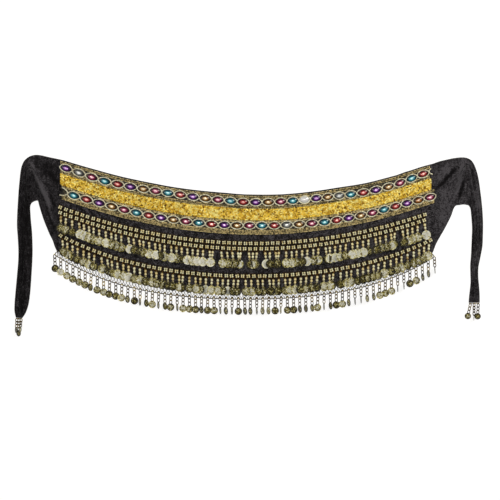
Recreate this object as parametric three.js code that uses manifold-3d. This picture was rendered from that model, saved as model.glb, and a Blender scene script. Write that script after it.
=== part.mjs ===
// A belly dance hip belt laid flat, in millimetres, +Z up: a crescent of velvet with two gem braids, a sequin
// band, rows of beads and coins, a net fringe of coins along the hem, and a gathered tie at each end.
// X runs along the belt, +Y points from the hem to the waist edge, and the underside rests on Z = 0.
// The origin is the middle of the belt's footprint.
import * as THREE from "three";
import { mergeVertices } from "three/addons/utils/BufferGeometryUtils.js";
import Module from "manifold-3d";

const wasm = await Module();
wasm.setup();

// Driving dimensions
const CLOTH = 2.2; // velvet and its backing
const SEAM = 0.4; // between pieces that are sewn edge to edge
const LIFT = 0.3; // between the cloth and what is sewn on it
const WAIST_Y = 112.6; // the waist edge at the middle of the belt
const HEM_DROP = 214; // the hem, below the waist edge
const HALF_SPAN = 411; // half the length that the sag is worked out over
const COLUMNS = 36; // sections along the panel
const SMOOTHED = 0.01; // what a joined solid may lose when its flat faces are merged
const BULGE = 0.39 * HEM_DROP; // where the panel's right end reaches furthest

// How the lines along the belt sag. drop: distance below the waist edge at the middle; lowX: where the
// line hangs lowest; rise: how far it climbs half a span away; curl: the share of the climb kept for the
// very ends.
const SAG = [
  { drop: 0, lowX: 17, rise: 71.3, curl: -0.2 },
  { drop: 119, lowX: 10, rise: 75, curl: 0 },
  { drop: 179, lowX: 4, rise: 86.6, curl: 0.235 },
  { drop: HEM_DROP, lowX: -5, rise: 88, curl: 0.42 },
];

// How far the waist edge lies off its even sag. It fades out down to a drop.
const SETTLE_FADE = 119;
const SETTLE = [
  { x: -414, up: 1 },
  { x: -350, up: 0 },
  { x: -290, up: -0.6 },
  { x: -200, up: 0.7 },
  { x: -60, up: 2.1 },
  { x: 0, up: 0.5 },
  { x: 85, up: -0.6 },
  { x: 190, up: 0 },
  { x: 262, up: -2 },
  { x: 322, up: -0.8 },
  { x: 350, up: 1.6 },
  { x: 385, up: 3.3 },
];

// Where the panel ends on the left and the right.
const ENDS = [
  { drop: 0, left: -414, right: 405 },
  { drop: BULGE, left: -416.7, right: 411 },
  { drop: HEM_DROP, left: -421, right: 405 },
];

// The shallow waves of the hem: they start under the lower braid and are deepest at the hem.
const WAVE = { height: 1.6, length: 92, lean: 0.35, start: BULGE, fade: 30 };
const UNDERSIDE_ROWS = [0, BULGE, HEM_DROP];
const PANEL_ROWS = [0, BULGE, 103.2, 111, 115, 123, 149, 175, 183, 198, HEM_DROP];

// What is sewn along the panel. from, to: drops; left, right: insets from the panel's ends, in columns; step:
// columns between its sections.
const BRAID_THICK = 1.6;
const STRIPS = {
  upper_gem_braid: { from: 2, to: 30.4, thick: BRAID_THICK, left: 0.05, right: 0.25, step: 2 },
  sequin_band: { from: 31.2, to: 56.8, thick: 1.4, left: 0.05, right: 0.2, step: 2 },
  lower_gem_braid: { from: 57.6, to: 87.6, thick: BRAID_THICK, left: 0.25, right: 0.02, step: 2 },
  bead_row: { from: 103.2, to: 111, thick: 3.6, left: 0.02, right: 0.75, step: 1 },
  coin_row_upper: { from: 115, to: 123, thick: 3.6, left: 0.02, right: 0.85, step: 1 },
  coin_row_lower: { from: 175, to: 183, thick: 3.6, left: 0.15, right: 0.1, step: 1 },
};

// Cabochons on the braids: one oval stone in each loop of the braid.
const STONE = {
  length: 22,
  width: 15,
  height: 5,
  sunk: 0.6,
  count: 30,
  sides: 8,
  shoulder: [0.62, 0.75],
};
// along, down: how far the stones stray from an even row, at even shares of it.
const STONE_ROWS = [
  {
    node: "upper_gem_braid",
    drop: 16.3,
    firstX: -400.6,
    lastX: 385.9,
    along: [0, 3.7, 7, 7, 8.2, 9.8, 11, 7, 1.6, 3.5, -2.3],
    down: [-0.3, 3.3, 0, -2.4, -0.3, 0.7, -0.5, -0.1, 3.4, 5, 0.2],
  },
  {
    node: "lower_gem_braid",
    drop: 69.5,
    firstX: -383.5,
    lastX: 398.6,
    along: [0, 2.7, 3.1, 3.2, 7, 8.8, 9.6, 11.8, 10.1, 5.4, 0.2],
    down: [1.2, -0.2, 0.8, -0.2, 0, -2, -1, 2, 0.5, -1.3, 3],
  },
];

// Coins that hang on beaded drops from the two coin rows, from a quarter of a column inside each end.
// reach: from the strip to the coin's middle; stem: half the drop's width; root: how far the drop runs into
// the strip; clear: height over the cloth; level: how much higher every second coin lies.
const ROW_COIN = {
  count: 67,
  radius: 10.8,
  thick: 1,
  stem: 1.4,
  reach: 29.7,
  root: 1.2,
  clear: 0.5,
  level: 1.8,
};
const COIN_INSET = 0.25;
const COIN_ROWS = ["coin_row_upper", "coin_row_lower"];

// The net fringe along the hem: a thread at a drop below the hem, a cord that zigzags between it and the
// hem, and a chain and a coin at each scallop. half, cord: half widths of the thread and the cord.
const NET = {
  drop: 225,
  half: 1.1,
  base: 0.3,
  thick: 2.4,
  cord: 0.75,
  cordThick: 1.4,
  firstX: -426,
  lastX: 409,
};
const FRINGE_COIN = { radius: 8.4, thick: 1, stem: 1.3, reach: 30, root: 0.6, clear: 0.4, level: 1.8 };
// How each fringe coin lies, from left to right: F flat, N turned half over, E on edge.
const FRINGE_LAY = "FFFFFFNFFFFFNFENFENFEFFFNFFENEFNNENNFEFFNNNFENFFNEENNFFFEEFFNNE";
const TURN = { F: 0, N: 62, E: 84 };

// Sections of the gathered end and tie, from the panel's seam to the tip. out: the outer edge; top: the
// crest of the main fold; in: the inner edge; the last three are the heights of the main fold and of the two
// beside it.
const TIE_COLUMNS = ["outX", "outY", "topX", "topY", "inX", "inY", "fold", "outer", "inner"];
const LEFT_TIE = [
  [-427.5, 193.2, -427.5, 69.3, -424.8, -2.2, 1.5, 0.5, 1],
  [-440.7, 196, -433, 81.4, -429.2, 11, 3, 1, 1.5],
  [-453.9, 199.1, -439.6, 95.7, -435.2, 23.1, 4.5, 1.8, 2],
  [-464.9, 200.4, -447.3, 113.3, -441.8, 38.5, 6, 2.8, 2.5],
  [-473.7, 199.5, -455.4, 129.8, -448.4, 55, 7, 3.5, 2.5],
  [-481.4, 196.7, -463.1, 146.3, -454.3, 72.6, 8, 4.5, 2],
  [-488, 191.8, -470.6, 163.9, -459.1, 89.1, 9, 5, 1.5],
  [-493.5, 185.2, -477.2, 173, -461.8, 98.6, 9.5, 5, 1],
  [-497.9, 174.9, -482.5, 164, -467.5, 99.4, 9, 5, 1],
  [-500.5, 161.7, -484.7, 149.6, -473.2, 96.8, 8, 5, 1.2],
  [-502.5, 143, -485.1, 130.9, -477.6, 93.7, 7, 4.5, 1.4],
  [-504.5, 121, -486.9, 110, -480.3, 85.8, 6.5, 4, 1.6],
  [-506, 96.8, -490.5, 88, -479.8, 70.4, 6, 3.5, 2],
  [-507.5, 70.4, -492.8, 63.8, -478.3, 51.7, 5.5, 3.2, 2.6],
  [-508, 44, -492.4, 39.6, -476.3, 30.8, 5, 3, 3],
  [-506.2, 17.6, -491.3, 15.4, -475.4, 11, 4.6, 2.6, 3.2],
  [-504.9, -8.8, -490.6, -9.9, -475, -11, 4.2, 2.4, 3],
  [-505.3, -33, -491.3, -33, -475.6, -33, 4, 2.6, 2.8],
  [-507.3, -57.2, -492.6, -57.2, -477, -57.2, 4, 3, 2.6],
  [-509.5, -81.4, -494.3, -81.4, -478.5, -81.4, 4.2, 3, 2.8],
  [-511.7, -105.6, -496.5, -105.6, -480.7, -106.7, 4.4, 2.8, 3],
  [-513.3, -125.4, -499.2, -126.5, -484, -128.7, 4.6, 2.4, 2.8],
  [-513.5, -143, -501.4, -145.2, -490, -146.3, 4.4, 2, 2],
  [-510.4, -157.4, -504.2, -157.9, -497.9, -158.4, 3.5, 0.6, 0.6],
];
const RIGHT_TIE = [
  [421.7, 186.6, 420.6, 81.4, 411.8, 3.3, 1.5, 1, 0.5],
  [434.9, 189.6, 430.5, 94.6, 419.5, 17.6, 3, 2, 1],
  [447, 192.3, 440.4, 106.7, 428.3, 33, 4.5, 2.5, 1.2],
  [458, 194, 449.2, 121, 437.1, 49.5, 5.5, 3, 1.5],
  [467.9, 194.9, 456.9, 135.3, 445.1, 66, 6.5, 3.5, 1.5],
  [476.7, 194.3, 464.6, 150.7, 451, 82.5, 7.5, 4, 1.5],
  [484.2, 191.8, 471.2, 166.1, 456.9, 88.9, 8.5, 4.5, 1.2],
  [490.6, 187, 478.5, 174.9, 464.6, 90.2, 9, 4.5, 1],
  [495.7, 179.5, 484, 168.3, 472.8, 91.3, 8.5, 4.5, 1],
  [499.8, 169.8, 487.3, 154, 480, 90.4, 7.5, 4.5, 1.2],
  [503.6, 157.3, 489.5, 137.5, 486, 88, 6.5, 4.2, 1.4],
  [506.9, 140.8, 492.1, 119.9, 489.5, 80.3, 6, 4, 1.4],
  [509.5, 121, 497.2, 102.3, 490.8, 68.2, 5.5, 3.5, 1.6],
  [512.2, 99, 501.8, 81.4, 492.1, 52.8, 5, 3, 2],
  [514.4, 74.8, 503.6, 59.4, 492.8, 36.3, 4.8, 2.6, 2.4],
  [515.5, 49.5, 503.8, 37.4, 492.1, 17.6, 4.6, 2.4, 2.6],
  [515.2, 24.2, 503.1, 14.3, 491.3, -1.1, 4.4, 2.2, 2.6],
  [514.1, 0, 501.8, -7.7, 490.4, -20.9, 4.2, 2.2, 2.4],
  [509.7, -24.2, 499.2, -30.8, 488.8, -41.8, 4, 2.2, 2.2],
  [505.3, -46.2, 497, -51.7, 489.1, -60.5, 3.8, 1.8, 1.8],
  [504.9, -68.2, 497.4, -72.6, 489.5, -78.1, 3.8, 1.6, 1.6],
  [506.7, -88, 497.4, -91.3, 488.2, -94.6, 3.6, 2, 2],
  [508, -107.8, 497.4, -108.9, 486.2, -111.1, 3.4, 2, 2],
  [508, -124.5, 496.6, -124.5, 485.3, -124.5, 2.6, 1.4, 1.4],
];
const BULGE_SHARE = BULGE / HEM_DROP;
const TIE_ACROSS = [0, 0.09, 0.18, 0.25, 0.32, BULGE_SHARE, 0.44, 0.5, 0.56, 0.62, 0.69, 0.75, 0.84, 0.92, 1];
const FOLD = { main: 0.17, side: 0.16, sideAt: 0.25 }; // half widths and places across the section

// The tassels on the ties' tips: a strip along the tip, and chains with coins. at: the chain's place along
// the strip; reach: from the strip to the coin's middle; swing: degrees off straight down.
const TASSEL_COIN = { radius: 7.4, thick: 1, stem: 1.3, root: 0.6, clear: 0.4, level: 1.8 };
const LEFT_TASSEL = [
  { at: 0.1, reach: 25, lay: "E", swing: 0 },
  { at: 0.5, reach: 31.5, lay: "N", swing: 0 },
  { at: 0.88, reach: 23, lay: "E", swing: -3 },
];
const RIGHT_TASSEL = [
  { at: 0.86, reach: 27.5, lay: "F", swing: -12 },
  { at: 0.5, reach: 30.5, lay: "E", swing: -3 },
  { at: 0.1, reach: 27.5, lay: "F", swing: -3 },
];

const COLOURS = {
  velvet: { color: 0x1b191b, roughness: 0.9, metalness: 0 },
  braid: { color: 0x8c7d45, roughness: 0.5, metalness: 0.6 },
  sequins: { color: 0xd9ab35, roughness: 0.3, metalness: 0.9 },
  beads: { color: 0xcbb06a, roughness: 0.3, metalness: 0.9 },
  coins: { color: 0xb5ad84, roughness: 0.3, metalness: 0.9 },
};

const { lerp, degToRad } = THREE.MathUtils;

// One column of a table that is listed by drop, at any drop.
function atDrop(table, column, drop) {
  const next = Math.max(1, table.findIndex((row) => row.drop >= drop));
  const last = drop >= table.at(-1).drop ? table.length - 1 : next;
  const [a, b] = [table[last - 1], table[last]];
  const share = Math.min(1, Math.max(0, (drop - a.drop) / (b.drop - a.drop)));
  return lerp(a[column], b[column], share);
}

// How far the line at a drop lies above its even sag, at x.
function settle(x, drop) {
  const next = SETTLE.findIndex((place) => place.x >= x);
  if (next < 1) return (next < 0 ? SETTLE.at(-1).up : SETTLE[0].up) * Math.max(0, 1 - drop / SETTLE_FADE);
  const [a, b] = [SETTLE[next - 1], SETTLE[next]];
  return lerp(a.up, b.up, THREE.MathUtils.smoothstep(x, a.x, b.x)) * Math.max(0, 1 - drop / SETTLE_FADE);
}

// The height up the belt of the line at a drop, at x.
function lineY(x, drop) {
  const off = ((x - atDrop(SAG, "lowX", drop)) / HALF_SPAN) ** 2;
  const curl = atDrop(SAG, "curl", drop);
  const sag = atDrop(SAG, "rise", drop) * ((1 - curl) * off + curl * off * off);
  return WAIST_Y - drop + sag + settle(x, drop);
}

// The cloth's top face.
function clothTop(x, drop) {
  const down = THREE.MathUtils.smoothstep(drop, WAVE.start, HEM_DROP);
  const left = x - atDrop(ENDS, "left", drop);
  const right = atDrop(ENDS, "right", drop) - x;
  const inside = THREE.MathUtils.smoothstep(Math.min(left, right), 0, WAVE.fade);
  const wave = 0.5 - 0.5 * Math.cos((2 * Math.PI * (x + WAVE.lean * drop)) / WAVE.length);
  return CLOTH + WAVE.height * down * inside * wave;
}

// A point on the panel's top face: column may be a fraction, and lies on the straight between its
// neighbours.
function panelPoint(column, drop) {
  const low = Math.min(Math.floor(column), COLUMNS - 1);
  const [a, b] = [low, low + 1].map((c) => {
    const x = lerp(atDrop(ENDS, "left", drop), atDrop(ENDS, "right", drop), c / COLUMNS);
    return new THREE.Vector3(x, lineY(x, drop), clothTop(x, drop));
  });
  return a.lerp(b, column - low);
}

// The triangles between two chains of points, which may have different counts.
function zip(a, b, flip, faces) {
  let [i, j] = [0, 0];
  while (i < a.length - 1 || j < b.length - 1) {
    const aIsBehind = (i + 1) / (a.length - 1) <= (j + 1) / (b.length - 1);
    const takeA = j === b.length - 1 || (i < a.length - 1 && aIsBehind);
    const face = takeA ? [a[i], b[j], a[i + 1]] : [a[i], b[j], b[j + 1]];
    faces.push(...(flip ? face.reverse() : face));
    if (takeA) i += 1;
    else j += 1;
  }
}

// A closed wall between a top and a bottom grid of points, [column][row]: columns run to +X and rows to -Y.
// The bottom may have fewer rows than the top.
function wall(top, bottom) {
  const points = [...top.flat(), ...bottom.flat()];
  const rows = top[0].length;
  const under = bottom[0].length;
  const topAt = (i, j) => i * rows + j;
  const underAt = (i, j) => top.length * rows + i * under + j;
  const faces = [];
  const sheet = (at, count, flip) => {
    for (let i = 0; i < top.length - 1; i += 1)
      for (let j = 0; j < count - 1; j += 1) {
        const quad = [at(i, j), at(i, j + 1), at(i + 1, j), at(i + 1, j), at(i, j + 1), at(i + 1, j + 1)];
        faces.push(...(flip ? quad.reverse() : quad));
      }
  };
  sheet(topAt, rows, false);
  sheet(underAt, under, true);
  const along = [...top.keys()];
  zip(along.map((i) => topAt(i, 0)), along.map((i) => underAt(i, 0)), true, faces);
  zip(along.map((i) => topAt(i, rows - 1)), along.map((i) => underAt(i, under - 1)), false, faces);
  const across = (i, at, count) => Array.from({ length: count }, (_, j) => at(i, j));
  zip(across(0, topAt, rows), across(0, underAt, under), false, faces);
  const end = top.length - 1;
  zip(across(end, topAt, rows), across(end, underAt, under), true, faces);
  const geometry = new THREE.BufferGeometry().setFromPoints(points);
  geometry.setIndex(faces);
  return geometry;
}

// The velvet panel, flat underneath.
function hipPanel() {
  const columns = Array.from({ length: COLUMNS + 1 }, (_, c) => c);
  const top = columns.map((c) => PANEL_ROWS.map((drop) => panelPoint(c, drop)));
  const bottom = columns.map((c) => UNDERSIDE_ROWS.map((drop) => panelPoint(c, drop).setZ(0)));
  return wall(top, bottom);
}

// A strip sewn along the panel, made from the panel's own points, moved out.
function strip({ from, to, thick, left, right, step }) {
  const columns = [left];
  for (let c = step; c < COLUMNS; c += step) columns.push(c);
  columns.push(COLUMNS - right);
  const raised = (up) =>
    columns.map((c) => [from, to].map((drop) => panelPoint(c, drop).add(new THREE.Vector3(0, 0, up))));
  return wall(raised(LIFT + thick), raised(LIFT));
}

function solidOf(geometry) {
  const bare = geometry.clone();
  bare.deleteAttribute("normal");
  bare.deleteAttribute("uv");
  const merged = mergeVertices(bare, 1e-4);
  return new wasm.Manifold(
    new wasm.Mesh({
      numProp: 3,
      vertProperties: merged.attributes.position.array,
      triVerts: new Uint32Array(merged.index.array),
    }),
  );
}

function geometryOf(solid) {
  const mesh = solid.getMesh();
  const geometry = new THREE.BufferGeometry();
  geometry.setAttribute("position", new THREE.BufferAttribute(mesh.vertProperties, 3));
  geometry.setIndex(new THREE.BufferAttribute(mesh.triVerts, 1));
  return geometry;
}

function fuse(geometries) {
  const [first, ...rest] = geometries.map(solidOf);
  return geometryOf(rest.reduce((all, next) => all.add(next), first).asOriginal().simplify(SMOOTHED));
}

// A value of an evenly spaced list, at any share of its length.
function atShare(list, share) {
  const place = share * (list.length - 1);
  const low = Math.min(Math.floor(place), list.length - 2);
  return lerp(list[low], list[low + 1], place - low);
}

// One row of stones, each turned along the braid.
function stones({ drop, firstX, lastX, along, down }) {
  const [wide, high] = STONE.shoulder;
  const { sunk, height } = STONE;
  const profile = [[0, -sunk], [1, -sunk], [1, 0], [wide, high * height], [0, height]];
  const outline = profile.map(([x, y]) => new THREE.Vector2(x, y));
  return Array.from({ length: STONE.count }, (_, k) => {
    const share = k / (STONE.count - 1);
    const x = lerp(firstX, lastX, share) + atShare(along, share);
    const line = drop + atShare(down, share);
    const slope = Math.atan2(lineY(x + 1, line) - lineY(x - 1, line), 2);
    return new THREE.LatheGeometry(outline, STONE.sides)
      .rotateX(Math.PI / 2)
      .scale(STONE.length / 2, STONE.width / 2, 1)
      .rotateZ(slope)
      .translate(x, lineY(x, line), CLOTH + LIFT + BRAID_THICK);
  });
}

// A hanging coin with its root at the origin: a narrow drop along -Y into a six-sided coin, level and
// centred in Z.
function coinDrop({ radius, thick, stem, root }, reach) {
  const corner = (degrees) => {
    const angle = degToRad(degrees);
    return [radius * Math.cos(angle), radius * Math.sin(angle) - reach];
  };
  const join = radius - reach - stem * Math.tan(degToRad(30));
  const corners = [150, 210, 270, 330, 30].map(corner);
  const outline = [[-stem, root], [-stem, join], ...corners, [stem, join], [stem, root]];
  const shape = new THREE.Shape(outline.map(([x, y]) => new THREE.Vector2(x, y)));
  return new THREE.ExtrudeGeometry(shape, { depth: thick, bevelEnabled: false }).translate(0, 0, -thick / 2);
}

// The highest cloth under a coin and its drop.
function highestUnder(x, dropFrom, dropTo, reachX) {
  const grid = [-1, -0.5, 0, 0.5, 1].flatMap((u) => [0, 0.5, 1].map((v) => [u, v]));
  return Math.max(...grid.map(([u, v]) => clothTop(x + u * reachX, lerp(dropFrom, dropTo, v))));
}

// A coin row: its strip, with a coin on every drop, on two levels so that neighbours overlap without
// touching.
function coinRow(name) {
  const { to, left, right } = STRIPS[name];
  const ends = [left + COIN_INSET, COLUMNS - right - COIN_INSET];
  const [first, last] = ends.map((c) => panelPoint(c, to).x);
  const drops = Array.from({ length: ROW_COIN.count }, (_, k) => {
    const x = lerp(first, last, k / (ROW_COIN.count - 1));
    const end = Math.min(HEM_DROP, to + ROW_COIN.reach + ROW_COIN.radius);
    const z = highestUnder(x, to, end, 2 * ROW_COIN.radius) + ROW_COIN.clear + ROW_COIN.thick / 2;
    return coinDrop(ROW_COIN, ROW_COIN.reach).translate(x, lineY(x, to), z + (k % 2) * ROW_COIN.level);
  });
  return fuse([strip(STRIPS[name]), ...drops]);
}

// A coin that hangs clear of the floor from a net strip: turned about its drop, lifted to clear, then
// swung.
function looseDrop(coin, { x, y, reach, lay, swing = 0, upper }) {
  const turn = degToRad(TURN[lay]);
  const strandZ = NET.base + NET.thick / 2;
  const flatZ = NET.base + coin.clear + (upper ? coin.level : 0);
  const turnedZ = coin.clear + coin.radius * Math.sin(turn) + coin.thick / 2;
  const lift = lay === "F" ? 0 : Math.asin((turnedZ - strandZ) / reach);
  return coinDrop(coin, reach)
    .rotateY(turn)
    .rotateX(-lift)
    .rotateZ(degToRad(swing))
    .translate(x, y, lay === "F" ? flatZ + coin.thick / 2 : strandZ);
}

// A flat band between two lines of points over the same x, extruded upwards.
function band(points, half, base, thick) {
  const upper = points.map(([x, y]) => new THREE.Vector2(x, y + half));
  const lower = points.map(([x, y]) => new THREE.Vector2(x, y - half)).reverse();
  const shape = new THREE.Shape([...upper, ...lower]);
  return new THREE.ExtrudeGeometry(shape, { depth: thick, bevelEnabled: false }).translate(0, 0, base);
}

// The fringe: a thread along the scallops, a zigzag of net up to the hem, and the hanging coins.
function netFringe() {
  const count = FRINGE_LAY.length;
  const rootX = (k) => lerp(NET.firstX, NET.lastX, k / (count - 1));
  const thread = [];
  const zigzag = [];
  const netTop = HEM_DROP + SEAM + 2 * NET.cord;
  for (let k = 0; k < count; k += 1) {
    thread.push([rootX(k), lineY(rootX(k), NET.drop)]);
    zigzag.push([rootX(k), lineY(rootX(k), NET.drop)]);
    const between = rootX(k + 0.5);
    if (k < count - 1) zigzag.push([between, lineY(between, netTop)]);
  }
  const drops = [...FRINGE_LAY].map((lay, k) =>
    looseDrop(FRINGE_COIN, {
      x: rootX(k),
      y: lineY(rootX(k), NET.drop) - NET.half,
      reach: FRINGE_COIN.reach,
      lay,
      upper: k % 2 === 1,
    }),
  );
  const first = thread[0];
  const last = thread.at(-1);
  thread.unshift([first[0] - 2 * NET.half, first[1]]);
  thread.push([last[0] + 2 * NET.half, last[1]]);
  return fuse([
    band(thread, NET.half, NET.base, NET.thick),
    band(zigzag, NET.cord, NET.base, NET.cordThick),
    ...drops,
  ]);
}

// A tassel under the tip of a tie, along the straight between the tip's outer and inner corners.
function tassel(tieTable, chains) {
  const tip = namedRow(tieTable.at(-1));
  const offset = SEAM + NET.half;
  const ends = [[tip.outX, tip.outY - offset], [tip.inX, tip.inY - offset]];
  const head = band([...ends].sort((a, b) => a[0] - b[0]), NET.half, NET.base, NET.thick);
  const hanging = chains.map(({ at, ...chain }, k) => {
    const [x, y] = [0, 1].map((axis) => lerp(ends[0][axis], ends[1][axis], at));
    return looseDrop(TASSEL_COIN, { ...chain, x, y: y - NET.half, upper: k % 2 === 1 });
  });
  return fuse([head, ...hanging]);
}

function namedRow(row) {
  return Object.fromEntries(TIE_COLUMNS.map((name, k) => [name, row[k]]));
}

// The bump of one fold across a section, 1 at its middle and 0 at its half width.
function bump(off, half) {
  return Math.abs(off) < half ? Math.cos((Math.PI * off) / (2 * half)) ** 2 : 0;
}

// A gathered end and tie. side is the panel's end that it is sewn to; the rows run from the outer to the
// inner edge.
function tie(side, table, outward) {
  const seam = TIE_ACROSS.map((across) => {
    const drop = HEM_DROP * across;
    const x = atDrop(ENDS, side, drop);
    return new THREE.Vector3(x + outward * SEAM, lineY(x, drop), 0);
  });
  const sections = table.map(namedRow).map((s) =>
    TIE_ACROSS.map((across) => {
      const [from, to, share] = across < 0.5 ? ["out", "top", 2 * across] : ["top", "in", 2 * across - 1];
      const height =
        s.fold * bump(across - 0.5, FOLD.main) +
        s.outer * bump(across - FOLD.sideAt, FOLD.side) +
        s.inner * bump(across - (1 - FOLD.sideAt), FOLD.side);
      const [x, y] = ["X", "Y"].map((axis) => lerp(s[from + axis], s[to + axis], share));
      return new THREE.Vector3(x, y, height);
    }),
  );
  const bottom = [seam, ...sections];
  if (outward < 0) bottom.reverse();
  const top = bottom.map((section) => section.map((p) => p.clone().setZ(p.z + CLOTH)));
  return wall(top, bottom);
}

const stoneRow = (name) => stones(STONE_ROWS.find((row) => row.node === name));
const NODES = [
  ["hip_panel", "velvet", hipPanel()],
  ["tie_left", "velvet", tie("left", LEFT_TIE, -1)],
  ["tie_right", "velvet", tie("right", RIGHT_TIE, 1)],
  ["upper_gem_braid", "braid", fuse([strip(STRIPS.upper_gem_braid), ...stoneRow("upper_gem_braid")])],
  ["sequin_band", "sequins", strip(STRIPS.sequin_band)],
  ["lower_gem_braid", "braid", fuse([strip(STRIPS.lower_gem_braid), ...stoneRow("lower_gem_braid")])],
  ["bead_row", "beads", strip(STRIPS.bead_row)],
  ...COIN_ROWS.map((name) => [name, "coins", coinRow(name)]),
  ["net_fringe", "coins", netFringe()],
  ["tassel_left", "coins", tassel(LEFT_TIE, LEFT_TASSEL)],
  ["tassel_right", "coins", tassel(RIGHT_TIE, RIGHT_TASSEL)],
];

const belt = new THREE.Group();
for (const [name, colour, geometry] of NODES) {
  geometry.computeVertexNormals();
  const mesh = new THREE.Mesh(geometry, new THREE.MeshStandardMaterial(COLOURS[colour]));
  mesh.name = name;
  belt.add(mesh);
}

export default belt;
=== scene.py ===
"""A belly dance hip belt laid flat: the finish of its velvet, braids, stones, beads, coins, net and ties."""

import math
import random

import bmesh
import bpy
from mathutils import Matrix, Vector, noise


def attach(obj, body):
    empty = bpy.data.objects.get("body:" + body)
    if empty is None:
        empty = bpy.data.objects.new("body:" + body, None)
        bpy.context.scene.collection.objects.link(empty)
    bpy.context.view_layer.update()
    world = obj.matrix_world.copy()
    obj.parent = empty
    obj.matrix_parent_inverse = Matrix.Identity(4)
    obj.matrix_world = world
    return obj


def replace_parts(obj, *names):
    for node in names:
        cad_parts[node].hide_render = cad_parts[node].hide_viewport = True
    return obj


bl_info = {
    "name": "Belly Dance Belt",
    "version": (1, 0, 0),
    "blender": (4, 5, 0),
    "location": "View3D > Sidebar > Belt",
    "description": "Builds a velvet hip belt with gem braids, coin rows, a net fringe and gathered ties",
    "category": "Add Mesh",
}

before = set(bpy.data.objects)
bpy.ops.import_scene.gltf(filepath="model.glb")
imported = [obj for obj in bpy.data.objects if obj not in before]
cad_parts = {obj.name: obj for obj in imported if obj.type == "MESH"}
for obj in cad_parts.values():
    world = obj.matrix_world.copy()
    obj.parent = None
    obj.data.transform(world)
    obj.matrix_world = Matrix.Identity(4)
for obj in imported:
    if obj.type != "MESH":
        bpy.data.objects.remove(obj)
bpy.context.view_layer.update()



def rows(columns, *table):
    """The rows of a table, each by its column names."""
    return [dict(zip(columns, row)) for row in table]


MM = 0.001
CLOTH = 2.2  # the velvet's thickness, in mm as every length below
SEAM = 0.4  # between pieces that are sewn edge to edge
LIFT = 0.3  # between the cloth and what is sewn on it
WAIST_Y = 112.6  # the waist edge at the middle of the belt
HEM = 214.0  # the hem's drop below the waist edge
HALF_SPAN = 411.0  # half the length that the sag is worked out over
BULGE = 0.39 * HEM  # where the panel's right end reaches furthest
COLUMNS = 36  # the sections that insets from the panel's ends are counted in

# How the lines along the belt sag: where each hangs lowest, how far it climbs half a span away, and the share
# of the climb kept for the very ends.
SAG = rows(
    ("drop", "low_x", "rise", "curl"),
    (0, 17, 71.3, -0.2),
    (119, 10, 75, 0),
    (179, 4, 86.6, 0.235),
    (HEM, -5, 88, 0.42),
)
# How far the waist edge lies off its even sag at an x. It fades out down to a drop.
SETTLE_FADE = 119.0
SETTLE = (
    (-414, 1),
    (-350, 0),
    (-290, -0.6),
    (-200, 0.7),
    (-60, 2.1),
    (0, 0.5),
    (85, -0.6),
    (190, 0),
    (262, -2),
    (322, -0.8),
    (350, 1.6),
    (385, 3.3),
)
# Where the panel ends on the left and the right.
ENDS = rows(("drop", "left", "right"), (0, -414, 405), (BULGE, -416.7, 411), (HEM, -421, 405))
# The shallow waves of the hem.
WAVE = {"height": 1.6, "length": 92, "lean": 0.35, "start": BULGE, "fade": 30}

# Creases pressed into the velvet: from and to on the belt, and the height and half width of each.
CREASES = rows(
    ("from_x", "from_y", "to_x", "to_y", "height", "half"),
    (-402, 92, -352, 44, 0.9, 5.0),
    (-386, 96, -330, 60, 0.6, 4.0),
    (-362, 74, -318, 38, 0.8, 5.0),
    (-300, 60, -268, 26, 0.6, 5.0),
    (-236, 48, -196, 22, 0.5, 4.0),
    (-150, 38, -118, 4, 0.6, 5.0),
    (-40, 34, 8, 12, 0.5, 5.0),
    (96, 30, 70, 2, 0.6, 5.0),
    (182, 48, 222, 24, 0.5, 5.0),
    (300, 56, 268, 30, 0.6, 4.5),
    (372, 92, 336, 56, 0.8, 5.0),
    (404, 60, 366, 20, 0.9, 6.0),
    (400, 24, 376, -14, 0.8, 5.0),
)

# Painted highlights and shade along the velvet's folds and creases: from and to, half width and how much.
PAINTED_FOLD_STROKES = rows(
    ("from_x", "from_y", "to_x", "to_y", "half", "light"),
    (-479, 190, -436, 88, 5, 0.153),
    (-462, 150, -428, 50, 3.5, 0.12),
    (-444, 86, -426, 36, 3, -0.1),
    (-436, 118, -424, 82, 3, -0.07),
    (-470, 180, -438, 72, 3, -0.102),
    (-441, 163, -417, 136, 5, -0.102),
    (-452, 185, -425, 160, 9, -0.051),
    (-492, 150, -494, -150, 17, -0.06),
    (-505, 110, -508, -60, 3, 0.06),
    (-488, 20, -484, -120, 3, 0.034),
    (-500, -110, -496, -150, 3, -0.102),
    (472, 189, 456, 106, 4.5, 0.119),
    (477, 149, 461, 102, 3.5, -0.136),
    (459, 174, 415, 126, 4, -0.136),
    (446, 176, 408, 146, 9, 0.051),
    (440, 140, 425, 40, 15, 0.043),
    (501, 144, 507, 77, 5, 0.068),
    (488, 110, 492, -20, 5, -0.09),
    (506, 60, 494, -118, 14, -0.05),
    (508, 20, 500, -60, 3, 0.05),
    (500, 0, 493, -70, 5, 0.06),
    (490, 175, 512, 90, 3.5, -0.068),
    (-372, 86, -352, 66, 2.5, -0.07),
    (-362, 86, -344, 66, 2.5, 0.07),
    (-352, 82, -332, 60, 2.5, -0.07),
    (-341, 78, -324, 58, 2.5, 0.07),
    (-331, 72, -313, 54, 2.5, -0.06),
    (-302, 64, -286, 48, 2.5, 0.05),
    (-279, 59, -262, 42, 3, -0.06),
    (-268, 57, -252, 40, 2.5, 0.05),
    (-250, 51, -234, 34, 3, -0.05),
    (-238, 48, -222, 32, 2.5, 0.04),
)

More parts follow.
